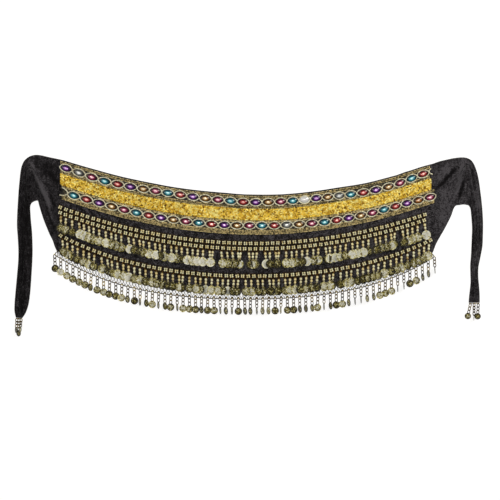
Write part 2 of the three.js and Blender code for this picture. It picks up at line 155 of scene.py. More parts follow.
# The two gem braids. borders: drops of the lattices; plait: the drop of its middle; along, down: how far the
# stones stray from an even row, at even shares of it; before, after: how far the plait runs past the end
# stones, in stone pitches.
BRAIDS = {
    "upper_gem_braid": {
        "drops": (3, 30.4),
        "insets": (0.05, 0.25),
        "borders": ((3.7, 8.2), (25.4, 30.0)),
        "plait": 16.3,
        "stones": (-400.6, 385.9),
        "along": (0, 3.7, 7, 7, 8.2, 9.8, 11, 7, 1.6, 3.5, -2.3),
        "down": (-0.3, 3.3, 0, -2.4, -0.3, 0.7, -0.5, -0.1, 3.4, 5, 0.2),
        "colours": "VCPTRVOPTRVOPTRVOPTWVOCTRVOPTR",
        "before": 0.5,
        "after": 0.7,
    },
    "lower_gem_braid": {
        "drops": (57.6, 87.6),
        "insets": (0.25, 0.02),
        "borders": ((58.2, 61.0), (78.6, 87.2)),
        "plait": 69.5,
        "stones": (-383.5, 398.6),
        "along": (0, 2.7, 3.1, 3.2, 7, 8.8, 9.6, 11.8, 10.1, 5.4, 0.2),
        "down": (1.2, -0.2, 0.8, -0.2, 0, -2, -1, 2, 0.5, -1.3, 3),
        "colours": "TRVOPTRVOPTRVOPTRCOPTRVOPTRVAP",
        "before": 1.05,
        "after": 0.5,
    },
}
BAND = {"drops": (31.2, 56.8), "insets": (0.05, 0.2)}

# The rows of beads in fours, and the insets of their ends in columns.
BEAD_ROWS = {
    "bead_row": {"drops": (103.2, 111), "insets": (0.02, 0.75)},
    "coin_row_upper": {"drops": (115, 123), "insets": (0.02, 0.85)},
    "coin_row_lower": {"drops": (175, 183), "insets": (0.15, 0.1)},
}
COIN_INSET = 0.25
# Each coin's painted light, from left to right, as lit and shaded copies of one plated coin: B bright, P
# pale,
# A amber, O olive, D dark. And how far its middle hangs to the side: 0 far left, 4 straight down, 8 far
# right.
COIN_ROW_PAINTED_LIGHT = {
    "coin_row_upper": "OADBBPOPBOAABDDOPBDPBODBPBBBDPOOBDDPDBDODPPODBOADBBPOBPBDDOOPDDPPPB",
    "coin_row_lower": "OPDDAPDADDPPBOPDAOODDPDOPOBPPOBDDOPDODADOPPDOODPPDDPPDDOOOPDOPOAAOP",
}
COIN_SWINGS = {
    "coin_row_upper": "4358764466448885565355454336088880840756055343438443354548667286548",
    "coin_row_lower": "7543443785555555655545135333432205575843633322245045355432344345542",
}
SWING_STEP = 1.6
# Each fringe coin's painted light, from left to right, in the rows' letters.
FRINGE_PAINTED_LIGHT = "DBPOAODOPDDPODDDPDDODPOODOADDDDDDDAAOOODDDOPDDDPODDADPOPDDDADDD"
# The shade that each letter paints: lit and shaded copies of one plated coin.
PAINTED_COIN_SHADE = {"D": 0.09, "O": 0.32, "A": 0.47, "P": 0.68, "B": 0.98}

# The net fringe, and how each of its coins lies from left to right: F flat, N turned half over, E on edge.
NET = {"drop": 225, "half": 1.1, "base": 0.3, "thick": 2.4, "from_x": -426, "to_x": 409}
FRINGE_LAY = "FFFFFFNFFFFFNFENFENFEFFFNFFENEFNNENNFEFFNNNFENFFNEENNFFFEEFFNNE"
TURN = {"F": 0, "N": 58, "E": 77}
FRINGE_REACH = 30.0

# The gathered ends and ties, section by section from the panel's seam to the tip: the outer edge, the crest
# of the main fold and the inner edge, then the heights of the main fold and of the two beside it.
TIE_COLUMNS = ("out_x", "out_y", "top_x", "top_y", "in_x", "in_y", "fold", "outer", "inner")
LEFT_TIE = rows(
    TIE_COLUMNS,
    (-427.5, 193.2, -427.5, 69.3, -424.8, -2.2, 1.5, 0.5, 1),
    (-440.7, 196, -433, 81.4, -429.2, 11, 3, 1, 1.5),
    (-453.9, 199.1, -439.6, 95.7, -435.2, 23.1, 4.5, 1.8, 2),
    (-464.9, 200.4, -447.3, 113.3, -441.8, 38.5, 6, 2.8, 2.5),
    (-473.7, 199.5, -455.4, 129.8, -448.4, 55, 7, 3.5, 2.5),
    (-481.4, 196.7, -463.1, 146.3, -454.3, 72.6, 8, 4.5, 2),
    (-488, 191.8, -470.6, 163.9, -459.1, 89.1, 9, 5, 1.5),
    (-493.5, 185.2, -477.2, 173, -461.8, 98.6, 9.5, 5, 1),
    (-497.9, 174.9, -482.5, 164, -467.5, 99.4, 9, 5, 1),
    (-500.5, 161.7, -484.7, 149.6, -473.2, 96.8, 8, 5, 1.2),
    (-502.5, 143, -485.1, 130.9, -477.6, 93.7, 7, 4.5, 1.4),
    (-504.5, 121, -486.9, 110, -480.3, 85.8, 6.5, 4, 1.6),
    (-506, 96.8, -490.5, 88, -479.8, 70.4, 6, 3.5, 2),
    (-507.5, 70.4, -492.8, 63.8, -478.3, 51.7, 5.5, 3.2, 2.6),
    (-508, 44, -492.4, 39.6, -476.3, 30.8, 5, 3, 3),
    (-506.2, 17.6, -491.3, 15.4, -475.4, 11, 4.6, 2.6, 3.2),
    (-504.9, -8.8, -490.6, -9.9, -475, -11, 4.2, 2.4, 3),
    (-505.3, -33, -491.3, -33, -475.6, -33, 4, 2.6, 2.8),
    (-507.3, -57.2, -492.6, -57.2, -477, -57.2, 4, 3, 2.6),
    (-509.5, -81.4, -494.3, -81.4, -478.5, -81.4, 4.2, 3, 2.8),
    (-511.7, -105.6, -496.5, -105.6, -480.7, -106.7, 4.4, 2.8, 3),
    (-513.3, -125.4, -499.2, -126.5, -484, -128.7, 4.6, 2.4, 2.8),
    (-513.5, -143, -501.4, -145.2, -490, -146.3, 4.4, 2, 2),
    (-510.4, -157.4, -504.2, -157.9, -497.9, -158.4, 3.5, 0.6, 0.6),
)
RIGHT_TIE = rows(
    TIE_COLUMNS,
    (421.7, 186.6, 420.6, 81.4, 411.8, 3.3, 1.5, 1, 0.5),
    (434.9, 189.6, 430.5, 94.6, 419.5, 17.6, 3, 2, 1),
    (447, 192.3, 440.4, 106.7, 428.3, 33, 4.5, 2.5, 1.2),
    (458, 194, 449.2, 121, 437.1, 49.5, 5.5, 3, 1.5),
    (467.9, 194.9, 456.9, 135.3, 445.1, 66, 6.5, 3.5, 1.5),
    (476.7, 194.3, 464.6, 150.7, 451, 82.5, 7.5, 4, 1.5),
    (484.2, 191.8, 471.2, 166.1, 456.9, 88.9, 8.5, 4.5, 1.2),
    (490.6, 187, 478.5, 174.9, 464.6, 90.2, 9, 4.5, 1),
    (495.7, 179.5, 484, 168.3, 472.8, 91.3, 8.5, 4.5, 1),
    (499.8, 169.8, 487.3, 154, 480, 90.4, 7.5, 4.5, 1.2),
    (503.6, 157.3, 489.5, 137.5, 486, 88, 6.5, 4.2, 1.4),
    (506.9, 140.8, 492.1, 119.9, 489.5, 80.3, 6, 4, 1.4),
    (509.5, 121, 497.2, 102.3, 490.8, 68.2, 5.5, 3.5, 1.6),
    (512.2, 99, 501.8, 81.4, 492.1, 52.8, 5, 3, 2),
    (514.4, 74.8, 503.6, 59.4, 492.8, 36.3, 4.8, 2.6, 2.4),
    (515.5, 49.5, 503.8, 37.4, 492.1, 17.6, 4.6, 2.4, 2.6),
    (515.2, 24.2, 503.1, 14.3, 491.3, -1.1, 4.4, 2.2, 2.6),
    (514.1, 0, 501.8, -7.7, 490.4, -20.9, 4.2, 2.2, 2.4),
    (509.7, -24.2, 499.2, -30.8, 488.8, -41.8, 4, 2.2, 2.2),
    (505.3, -46.2, 497, -51.7, 489.1, -60.5, 3.8, 1.8, 1.8),
    (504.9, -68.2, 497.4, -72.6, 489.5, -78.1, 3.8, 1.6, 1.6),
    (506.7, -88, 497.4, -91.3, 488.2, -94.6, 3.6, 2, 2),
    (508, -107.8, 497.4, -108.9, 486.2, -111.1, 3.4, 2, 2),
    (508, -124.5, 496.6, -124.5, 485.3, -124.5, 2.6, 1.4, 1.4),
)
TIE_CUT = (0.45, 0.215)  # the length and width of each end and tie as cut, in metres
TIES = {
    "tie_left": {"side": "left", "outward": -1, "sections": LEFT_TIE, "flat": TIE_CUT, "area": 0.033},
    "tie_right": {"side": "right", "outward": 1, "sections": RIGHT_TIE, "flat": TIE_CUT, "area": 0.031},
}
# The folds that stay at the same share across the section, and the small pleats that the gathering leaves:
# where each pleat runs, its half width, its height, and how far it wanders.
FOLDS = rows(("name", "at", "half"), ("fold", 0.5, 0.17), ("outer", 0.25, 0.16), ("inner", 0.75, 0.16))
PLEATS = rows(
    ("at", "half", "height", "wander"),
    (0.12, 0.045, 0.9, 0.03),
    (0.2, 0.035, 0.6, 0.02),
    (0.33, 0.04, 1.0, 0.025),
    (0.44, 0.03, 0.7, 0.015),
    (0.58, 0.035, 0.9, 0.02),
    (0.67, 0.045, 0.6, 0.03),
    (0.82, 0.04, 0.9, 0.02),
    (0.93, 0.03, 0.5, 0.01),
)

# The chains of each tassel: the place along the tie's tip, from the strip to the coin's middle, how the coin
# lies, how far the chain swings off straight down, in degrees, and the coin's painted light.
TASSEL_COLUMNS = ("at", "reach", "lay", "swing", "tone")
TASSELS = {
    "tassel_left": rows(
        TASSEL_COLUMNS,
        (0.1, 25, "E", 0, "D"),
        (0.5, 31.5, "N", 0, "D"),
        (0.88, 23, "E", -3, "O"),
    ),
    "tassel_right": rows(
        TASSEL_COLUMNS,
        (0.86, 27.5, "F", -12, "O"),
        (0.5, 30.5, "E", -3, "D"),
        (0.1, 27.5, "F", -3, "D"),
    ),
}
TASSEL_COIN = 7.0  # the radius of its coins

# The stamped coins. rim, step: the rim's width and the slope inside it, as shares of the radius.
COIN = {"sides": 20, "thick": 0.7, "rim": 0.09, "step": 0.05, "sunk": 0.18}
# The bands of the coins' relief, as shares of its width from its middle, and the rays and dots in each.
RAYS = {"from": 0.09, "to": 0.29, "count": 4}
DOTS = {"from": 0.325, "to": 0.375, "count": 22}
BOSS = 0.075
# The facets of a stone, ring by ring from the girdle up: width, step up, and painted shade (0 lit, 1 shaded).
FACETS = rows(
    ("wide", "high", "deep"),
    (1.0, 0.28, 1.0), (0.8, 0.36, 0.72), (0.5, 0.26, 0.3), (0.2, 0.1, 0.0),
)
# The thread loops beside the beads of a stem: how far down, and how far out.
LOOP = ((-1, 0.2), (2, 1), (7, 1.5), (10.5, 0.9), (14, 1.4), (17.5, 0.2))


# ----------------------------------------------------------------------------------------------------------
# Settings


def length(name, description, default):
    return bpy.props.FloatProperty(name=name, description=description, unit="LENGTH", default=default)


def lengths(name, description, default):
    values = {"size": len(default), "unit": "LENGTH", "default": default}
    return bpy.props.FloatVectorProperty(name=name, description=description, **values)


def colour(name, description, default):
    return bpy.props.FloatVectorProperty(name=name, description=description, subtype="COLOR", default=default)


def amount(name, description, default, **options):
    return bpy.props.FloatProperty(name=name, description=description, default=default, **options)


class ClothSettings(bpy.types.PropertyGroup):
    """The velvet of the panel and the ties."""

    nap: colour("Velvet, in shade", "Colour between the tufts", (0.006, 0.0052, 0.006))
    tuft: colour("Velvet, in light", "Colour of the tufts", (0.085, 0.08, 0.09))
    sheen: amount("Sheen", "Glow of the pile at a slant", 0.2, min=0, max=1)
    creasing: amount("Creasing", "How deep the creases and pleats are", 1.0, min=0, max=2)


class TrimSettings(bpy.types.PropertyGroup):
    """The gem braids and the sequin band."""

    stone: lengths("Stone", "Length, width and height", (0.0225, 0.0146, 0.005))
    ring: length("Plait", "Half height of the plait's rings", 0.0083)
    cord: length("Cord", "Radius of the plait's cords", 0.0012)
    lattice: length("Lattice", "Pitch of the lattice", 0.0062)
    sequin: length("Sequin", "Radius of a sequin", 0.0019)
    gold: colour("Braid gold", "Colour of the lattice", (0.72, 0.6, 0.31))
    cream: colour("Plait gold", "Colour of the plait", (1.0, 0.88, 0.58))


class CoinSettings(bpy.types.PropertyGroup):
    """The beads, coins and chains."""

    bead: length("Bead", "Radius of a row bead", 0.0019)
    fours: bpy.props.IntProperty(name="Fours", description="Groups of beads in a row", default=68, min=2)
    row_coin: length("Row coin", "Radius of a row's coin", 0.0104)
    fringe_coin: length("Fringe coin", "Radius of the fringe's coin", 0.0083)
    reach: length("Reach", "From a row to the middle of its coins", 0.0295)
    tilt: amount("Tilt", "Most that a coin leans on its neighbour", math.radians(30), subtype="ANGLE")
    link: length("Link", "Radius of a chain link", 0.0042)
    wire: length("Wire", "Radius of its wire", 0.00125)


class StageSettings(bpy.types.PropertyGroup):
    """The camera, floor and lights."""

    height: length("Camera", "Height over the floor", 3.0)
    span: length("View", "Width of the floor in view", 1.1)
    centre: lengths("Centre", "Where the camera looks", (0.0037, -0.0088))
    floor: colour("Floor", "Colour of the floor, unlit", (0.4, 0.4, 0.4))
    glow: amount("Glow", "Light that the floor gives of itself", 0.8)
    daylight: amount("Daylight", "Strength of the even light", 0.2)
    lamps: amount("Lamps", "Power of each strip light", 5.5, unit="POWER")


class BeltSettings(bpy.types.PropertyGroup):
    """All the settings of the belt."""

    cloth: bpy.props.PointerProperty(type=ClothSettings, name="Cloth", description="The velvet")
    trim: bpy.props.PointerProperty(type=TrimSettings, name="Trim", description="Braids and band")
    coins: bpy.props.PointerProperty(type=CoinSettings, name="Coins", description="Beads, coins and chains")
    stage: bpy.props.PointerProperty(type=StageSettings, name="Stage", description="Camera, floor and lights")


# ----------------------------------------------------------------------------------------------------------
# The lie of the cloth, in mm


def lerp(a, b, share):
    return a + (b - a) * share


def held(value, low=0.0, high=1.0):
    return min(high, max(low, value))


def smooth(share):
    share = held(share)
    return share * share * (3 - 2 * share)


def bump(off, half):
    """A fold's profile: 1 at its crest, 0 past its half width."""
    return math.cos(math.pi * off / (2 * half)) ** 2 if abs(off) < half else 0.0


def by_drop(table, column, drop):
    """One column of a table that is listed by drop, at any drop."""
    drop = max(drop, table[0]["drop"])
    for low, high in zip(table, table[1:]):
        if drop <= high["drop"]:
            return lerp(low[column], high[column], (drop - low["drop"]) / (high["drop"] - low["drop"]))
    return table[-1][column]


def listed(values, share):
    """A value of an evenly spaced list, at any share of its length."""
    place = held(share) * (len(values) - 1)
    low = min(int(place), len(values) - 2)
    return lerp(values[low], values[low + 1], place - low)


def settle(x, drop):
    """How far the line at a drop lies above its even sag, at x."""
    fade = max(0.0, 1 - drop / SETTLE_FADE)
    for (low_x, low), (high_x, high) in zip(SETTLE, SETTLE[1:]):
        if x <= high_x:
            return fade * lerp(low, high, smooth((x - low_x) / (high_x - low_x)))
    return fade * SETTLE[-1][1]


def line_y(x, drop):
    """How far up the belt the line at a drop lies, at x."""
    off = ((x - by_drop(SAG, "low_x", drop)) / HALF_SPAN) ** 2
    curl = by_drop(SAG, "curl", drop)
    sag = by_drop(SAG, "rise", drop) * ((1 - curl) * off + curl * off * off)
    return WAIST_Y - drop + sag + settle(x, drop)


def slope(x, drop):
    return math.atan2(line_y(x + 1, drop) - line_y(x - 1, drop), 2)


def off_line(line, x, y, past=0.0):
    """How far along a line of a table a place lies, held to its ends and a share past them, and how many
    of the line's half widths off it."""
    along = Vector((line["to_x"] - line["from_x"], line["to_y"] - line["from_y"]))
    away = Vector((x - line["from_x"], y - line["from_y"]))
    share = held(away.dot(along) / along.length_squared, -past, 1 + past)
    return share, (away - along * share).length / line["half"]


CREASE_RUN_OUT = 0.2  # how far a crease fades past its ends, as a share of its length


def creases(x, y):
    """The height of the pressed creases at a place."""
    height = 0.0
    for crease in CREASES:
        share, off = off_line(crease, x, y, CREASE_RUN_OUT)
        inside = min(share, 1 - share) + CREASE_RUN_OUT
        height += crease["height"] * math.exp(-off * off) * smooth(inside / (2 * CREASE_RUN_OUT))
    return height * bpy.context.scene.belt.cloth.creasing


STROKE_END = 0.35  # how much of a stroke is left at its ends
STROKE_FADE = 4  # the strokes fade over this part of their length


def painted_fold_light(x, y):
    """How much painted highlight a place gets from the folds, painted shade where it is negative."""
    light = 0.0
    for stroke in PAINTED_FOLD_STROKES:
        share, off = off_line(stroke, x, y)
        full = lerp(STROKE_END, 1, smooth(STROKE_FADE * min(share, 1 - share)))
        light += stroke["light"] * math.exp(-off * off) * full
    return light


CREASES_GROW = 8  # below the bulge, where the braids hold the cloth flat


def cloth_top(x, drop):
    """The height of the panel's top face."""
    down = smooth((drop - WAVE["start"]) / (HEM - WAVE["start"]))
    inside = min(x - by_drop(ENDS, "left", drop), by_drop(ENDS, "right", drop) - x)
    wave = 0.5 - 0.5 * math.cos(2 * math.pi * (x + WAVE["lean"] * drop) / WAVE["length"])
    wave *= WAVE["height"] * down * smooth(inside / WAVE["fade"])
    return CLOTH + wave + smooth((drop - BULGE) / CREASES_GROW) * creases(x, line_y(x, drop))


def on_panel(x, drop, up=0.0):
    """A point over the panel, in metres."""
    return Vector((x, line_y(x, drop), cloth_top(x, drop) + up)) * MM


def beside(x, drop, off, up):
    """A point off a line of the panel, square to it and towards the waist, in metres."""
    turn = slope(x, drop)
    aside = x - off * math.sin(turn)
    height = cloth_top(aside, max(0, drop - off)) + up
    return Vector((aside, line_y(x, drop) + off * math.cos(turn), height)) * MM


def turned_place(point, turn=0.0):
    return Matrix.Translation(point) @ Matrix.Rotation(turn, 4, "Z")


def across_panel(u, drop):
    """The x of a line's point, u from 0 at the panel's left end to 1 at its right end."""
    return lerp(by_drop(ENDS, "left", drop), by_drop(ENDS, "right", drop), u)


def reach_of(insets, drop):
    """The x of both ends of a trim with these insets, in columns."""
    left, right = insets
    return across_panel(left / COLUMNS, drop), across_panel(1 - right / COLUMNS, drop)


def tie_section(tie, index, across):
    """A point of one section of a tie, across from 0 at the outer edge to 1 at the inner edge."""
    if index <= 0:
        drop = HEM * across
        x = by_drop(ENDS, tie["side"], drop)
        return Vector((x + tie["outward"] * SEAM, line_y(x, drop), CLOTH + creases(x, line_y(x, drop))))
    row = tie["sections"][min(index, len(tie["sections"])) - 1]
    near, far, share = ("out", "top", 2 * across) if across < 0.5 else ("top", "in", 2 * across - 1)
    x, y = (lerp(row[f"{near}_{axis}"], row[f"{far}_{axis}"], share) for axis in "xy")
    height = sum(row[fold["name"]] * bump(across - fold["at"], fold["half"]) for fold in FOLDS)
    return Vector((x, y, CLOTH + height))


def pleating(along, across):
    """The height of the small pleats, which grow over a tie's first fifth and sink towards its tip."""
    gathered = smooth(along * 5) * (1 - 0.5 * smooth((along - 0.92) * 12))
    height = 0.0
    for number, pleat in enumerate(PLEATS):
        drift = pleat["wander"] * math.sin(9 * along + 2.1 * number)
        depth = pleat["height"] * (0.75 + 0.25 * math.sin(13 * along + 1.7 * number))
        height += depth * bump(across - pleat["at"] - drift, pleat["half"])
    return bpy.context.scene.belt.cloth.creasing * gathered * height


def tie_point(tie, along, across):
    """A point of a tie's top face, in metres: along from 0 at the seam to 1 at the tip, on a smooth curve
    through the sections."""
    count = len(tie["sections"])
    index = min(int(along * count), count - 1)
    share = along * count - index
    p = [tie_section(tie, held(index + step, 0, count), across) for step in (-1, 0, 1, 2)]
    point = 0.5 * (
        2 * p[1]
        + (p[2] - p[0]) * share
        + (2 * p[0] - 5 * p[1] + 4 * p[2] - p[3]) * share**2
        + (3 * p[1] - p[0] - 3 * p[2] + p[3]) * share**3
    )
    point.z += pleating(along, across)
    return point * MM


# ----------------------------------------------------------------------------------------------------------
# Making pieces


def material(finish):
    """The material of a finish, mixed when it is first asked for."""
    name = finish.__name__
    return bpy.data.materials.get(name) or finish().finished(name)


def add_object(name, data):
    made = bpy.data.objects.new(name, data)
    bpy.context.scene.collection.objects.link(made)
    return made


def mesh_of(name, bm):
    """The mesh of a bmesh, which this uses up."""
    mesh = bpy.data.meshes.new(name)
    bm.to_mesh(mesh)
    bm.free()
    return mesh


def add_piece(name, bm, finish, smooth_faces=True):
    """A finished piece of the belt from a bmesh, which this uses up."""
    for face in bm.faces:
        face.smooth = smooth_faces
    return add_mesh(name, mesh_of(name, bm), finish)


def add_mesh(name, mesh, finish):
    mesh.materials.clear()
    mesh.materials.append(material(finish))
    piece = add_object(name, mesh)
    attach(piece, "root")
    return piece


def sheet(name, steps, place, finish, slot, thick):
    """A sheet of cloth: place(u, v) gives its top face, u along +X and v down the belt, each from 0 to 1."""
    bm = bmesh.new()
    bm.loops.layers.uv.new("weave")
    bmesh.ops.create_grid(bm, x_segments=steps[0], y_segments=steps[1], size=0.5, calc_uvs=True)
    nap = bm.verts.layers.float.new("nap")
    for vert in bm.verts:
        vert.co = place(vert.co.x + 0.5, 0.5 - vert.co.y)
        # velvet keeps the painted highlights and shade of its folds in the nap attribute
        vert[nap] = painted_fold_light(vert.co.x / MM, vert.co.y / MM) if slot == "velvet" else 0.0
    piece = add_piece(name, bm, finish)
    wall = piece.modifiers.new("Thickness", "SOLIDIFY")
    wall.thickness = thick * MM
    wall.offset = -1
    return piece


def ribbon(name, trim, lift, thick, finish, slot):
    """The ground of a braid or band, laid on the panel. Gives the x of its ends and its drops."""
    top, bottom = trim["drops"]
    left, right = reach_of(trim["insets"], top)

    def place(u, v):
        return on_panel(lerp(left, right, u), lerp(top, bottom, v), LIFT + lift)

    ground = sheet(f"{name}_ground", RIBBON_STEPS, place, finish, slot, thick)
    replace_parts(ground, name)
    return left, right, top, bottom


def add_coins(node, bm):
    """The coins of a node, which they replace."""
    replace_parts(add_piece(f"{node}_coins", bm, stamped_coins, smooth_faces=False), node)


def cords(name, runs, radius, finish, roundness=1, closed=False):
    """Round cords along runs of points in metres, as one piece."""
    curve = bpy.data.curves.new(name, "CURVE")
    curve.dimensions = "3D"
    curve.bevel_depth = radius
    curve.bevel_resolution = roundness
    curve.use_fill_caps = True
    for run in runs:
        spline = curve.splines.new("POLY")
        spline.points.add(len(run) - 1)
        spline.use_cyclic_u = closed
        for point, place in zip(spline.points, run):
            point.co = (*place, 1)
    drawn = add_object(name, curve)
    shaped = drawn.evaluated_get(bpy.context.evaluated_depsgraph_get())
    mesh = bpy.data.meshes.new_from_object(shaped)
    bpy.data.objects.remove(drawn)
    bpy.data.curves.remove(curve)
    mesh.name = name
    for face in mesh.polygons:
        face.use_smooth = roundness > 0
    return add_mesh(name, mesh, finish)


def shape(name, bm):
    """A closed shape that is stamped many times. It uses up its bmesh."""
    bmesh.ops.recalc_face_normals(bm, faces=bm.faces)
    return mesh_of(name, bm)


def stamp(bm, stamped, place, shade=0.5):
    """Adds a copy of a shape in its place, with a shade of its own."""
    copy = stamped.copy()
    copy.transform(place)
    shades = copy.attributes.new("shade", "FLOAT", "FACE")
    shades.data.foreach_set("value", [shade] * len(copy.polygons))
    bm.from_mesh(copy)
    bpy.data.meshes.remove(copy)


def bead_shape():
    """A round bead of radius 1."""
    bm = bmesh.new()
    bmesh.ops.create_uvsphere(bm, u_segments=8, v_segments=6, radius=1)
    return shape("bead", bm)


def disc_shape(radius, thick):
    """A sequin: a thin cupped disc."""
    bm = bmesh.new()
    bmesh.ops.create_cone(bm, cap_ends=True, segments=6, radius1=radius, radius2=0.8 * radius, depth=thick)
    return shape("disc", bm)


def ring_shape(radius, wire, steps=10):
    """A ring of square wire that lies flat."""
    bm = bmesh.new()
    upright = Matrix.Translation((radius, 0, 0)) @ Matrix.Rotation(math.pi / 2, 4, "X")
    bmesh.ops.create_circle(bm, segments=4, radius=wire, matrix=upright)
    section = [*bm.verts, *bm.edges]
    bmesh.ops.spin(bm, geom=section, axis=(0, 0, 1), angle=2 * math.pi, steps=steps, use_merge=True)
    return shape("ring", bm)


def coin_shape(radius):
    """A stamped coin: a raised rim round a sunk field on both faces, with its relief on the UV map."""
    bm = bmesh.new()
    thick = COIN["thick"] * MM
    bmesh.ops.create_cone(
        bm, cap_ends=True, segments=COIN["sides"], radius1=radius, radius2=radius, depth=thick
    )
    for cap in [face for face in bm.faces if len(face.verts) > 4]:
        bmesh.ops.inset_region(bm, faces=[cap], thickness=COIN["rim"] * radius, use_even_offset=True)
        bmesh.ops.inset_region(bm, faces=[cap], thickness=COIN["step"] * radius, depth=-COIN["sunk"] * MM)
    relief = bm.loops.layers.uv.new("relief")
    for face in bm.faces:
        for loop in face.loops:
            loop[relief].uv = (0.5 + 0.5 * loop.vert.co.x / radius, 0.5 + 0.5 * loop.vert.co.y / radius)
    return shape("coin", bm)


def stone_shape(size):
    """A cut oval: a straight girdle, rings of facets and a small table. Its depth value sets the painted
    light of
    its glass: it runs from the lit table to the shaded rim, and is higher, so more shaded, towards the waist."""
    bm = bmesh.new()
    depth = bm.verts.layers.float.new("depth")
    bmesh.ops.create_circle(bm, cap_ends=True, segments=14, radius=1)
    for vert in bm.verts:
        vert[depth] = 1.0
    (face,) = bm.faces
    width = 1.0
    for facet in FACETS:
        grown = bmesh.ops.extrude_face_region(bm, geom=[face])["geom"]
        ring = [item for item in grown if isinstance(item, bmesh.types.BMVert)]
        (face,) = [item for item in grown if isinstance(item, bmesh.types.BMFace)]
        bmesh.ops.scale(bm, vec=(facet["wide"] / width, facet["wide"] / width, 1), verts=ring)
        bmesh.ops.translate(bm, vec=(0, 0, facet["high"]), verts=ring)
        for vert in ring:
            vert[depth] = facet["deep"]
        width = facet["wide"]
    # painted shade: the half towards the waist is darker, the half towards the hem lit
    for vert in bm.verts:
        vert[depth] = held(vert[depth] + 0.3 * vert.co.y)
    bmesh.ops.scale(bm, vec=(size[0] / 2, size[1] / 2, size[2]), verts=bm.verts)
    return shape("stone", bm)


# ----------------------------------------------------------------------------------------------------------
# Finishes

TWIST = {"scale": (900, 500, 900), "turn": 0.7}  # the strands of a twisted thread


class Finish:
    """A finish being mixed: nodes are added and joined with short calls."""

    def __init__(self, **shader):
        self.material = bpy.data.materials.new("finish")
        self.material.use_nodes = True
        self.tree = self.material.node_tree
        self.shader = self.tree.nodes["Principled BSDF"]
        self.join(self.shader, {name.replace("_", " "): value for name, value in shader.items()})

    def finished(self, name):
        self.material.name = name
        return self.material

    def join(self, node, inputs):
        for socket, value in inputs.items():
            if isinstance(value, bpy.types.NodeSocket):
                self.tree.links.new(value, node.inputs[socket])
            else:
                node.inputs[socket].default_value = value

    def add(self, kind, inputs=None, **options):
        node = self.tree.nodes.new(f"ShaderNode{kind}")
        for option, value in options.items():
            setattr(node, option, value)
        self.join(node, inputs or {})
        return node

    def place(self):
        return self.add("TexCoord").outputs["Object"]

    def noise(self, scale, detail=2.0, vector=None):
        inputs = {"Vector": vector or self.place(), "Scale": scale, "Detail": detail}
        return self.add("TexNoise", inputs).outputs["Fac"]

    def strands(self, scale, turn=0.0, detail=2.0):
        """Noise that is drawn out along one way."""
        inputs = {"Vector": self.place(), "Scale": scale, "Rotation": (0, 0, turn)}
        return self.noise(1, detail, self.add("Mapping", inputs).outputs["Vector"])

    def math(self, operation, first, second=0.5):
        return self.add("Math", {0: first, 1: second}, operation=operation).outputs[0]

    def product(self, first, second):
        return self.math("MULTIPLY", first, second)

    def weighed(self, *parts):
        """The sum of values, each times its weight."""
        total = 0.0
        for value, weight in parts:
            total = self.math("ADD", self.product(value, weight), total)
        return total

    def spread(self, value, low, high, start=0.0, end=1.0):
        """A value from start to end, moved to lie from low to high."""
        inputs = {"Value": value, "From Min": start, "From Max": end, "To Min": low, "To Max": high}
        return self.add("MapRange", inputs).outputs["Result"]

    def attribute(self, name):
        return self.add("Attribute", attribute_name=name).outputs["Fac"]

    def noisy_shade(self, noise, noise_weight):
        """The shade of each stamped shape, made uneven by a noise."""
        return self.weighed((self.attribute("shade"), 1), (self.math("SUBTRACT", noise, 0.5), noise_weight))

    def colour(self, factor, *stops):
        """The base colour, on a ramp of positions and colours."""
        node = self.add("ValToRGB", {"Fac": factor})
        elements = node.color_ramp.elements
        while len(elements) < len(stops):
            elements.new(1.0)
        for element, (position, shade) in zip(elements, stops):
            element.position = position
            element.color = (*shade, 1)
        self.join(self.shader, {"Base Color": node.outputs["Color"]})
        return self

    def rough(self, factor, low, high):
        self.join(self.shader, {"Roughness": self.spread(factor, low, high)})
        return self

    def relief(self, height, distance, strength=1.0):
        inputs = {"Height": height, "Distance": distance * MM, "Strength": strength}
        self.join(self.shader, {"Normal": self.add("Bump", inputs).outputs["Normal"]})
        return self


def scaled(tint, share):
    return tuple(share * c for c in tint)


def between(first, second, share):
    return tuple(lerp(a, b, share) for a, b in zip(first, second))


def velvet_pile(grain=1.0):
    """Pile velvet with painted highlights and shade on its folds and creases. Its grain is how mottled the
    nap lies, and it is a little lighter towards the right.
    """
    cloth = bpy.context.scene.belt.cloth
    mix = Finish(Sheen_Weight=cloth.sheen, Sheen_Roughness=0.35, Specular_IOR_Level=0.06)
    tufts = mix.noise(380, 2)
    nap = mix.noise(130, 3)
    brushed = mix.strands((150, 60, 60), 0.7, 3)
    side = mix.add("SeparateXYZ", {"Vector": mix.place()}).outputs["X"]
    light = mix.weighed(
        (tufts, 0.6 * grain),
        (nap, 0.3 * grain),
        (brushed, 0.2 * grain),
        (1.0, 0.55 * (1 - grain)),
        # the painted highlights and shade of the folds and creases
        (mix.attribute("nap"), 1),
        (mix.spread(side, -0.02, 0.02, -0.47, 0.47), 1),
    )
    middle = between(cloth.nap, cloth.tuft, 0.3)
    mix.colour(light, (0.47, tuple(cloth.nap)), (0.555, middle), (0.63, tuple(cloth.tuft)))
    return mix.rough(nap, 0.75, 0.95).relief(tufts, 0.4, 0.8)


def gathered_velvet():
    return velvet_pile(0.6)


def velvet_edge():
    mix = Finish(Sheen_Weight=0.1, Specular_IOR_Level=0.06, Roughness=0.9)
    fibres = mix.noise(600, 3)
    return mix.colour(fibres, (0.35, (0.006, 0.005, 0.006)), (0.7, (0.045, 0.04, 0.042))).relief(fibres, 0.3)


def gilt_thread(dark, middle, light):
    """Dark thread with a gold strand twisted in."""
    mix = Finish(Specular_IOR_Level=0.15)
    twist = mix.strands(**TWIST)
    gilt = mix.noise(300, 3)
    mix.colour(mix.weighed((twist, 0.4), (gilt, 0.6)), (0.42, dark), (0.52, middle), (0.62, light))
    return mix.rough(twist, 0.45, 0.75).relief(twist, 0.3)


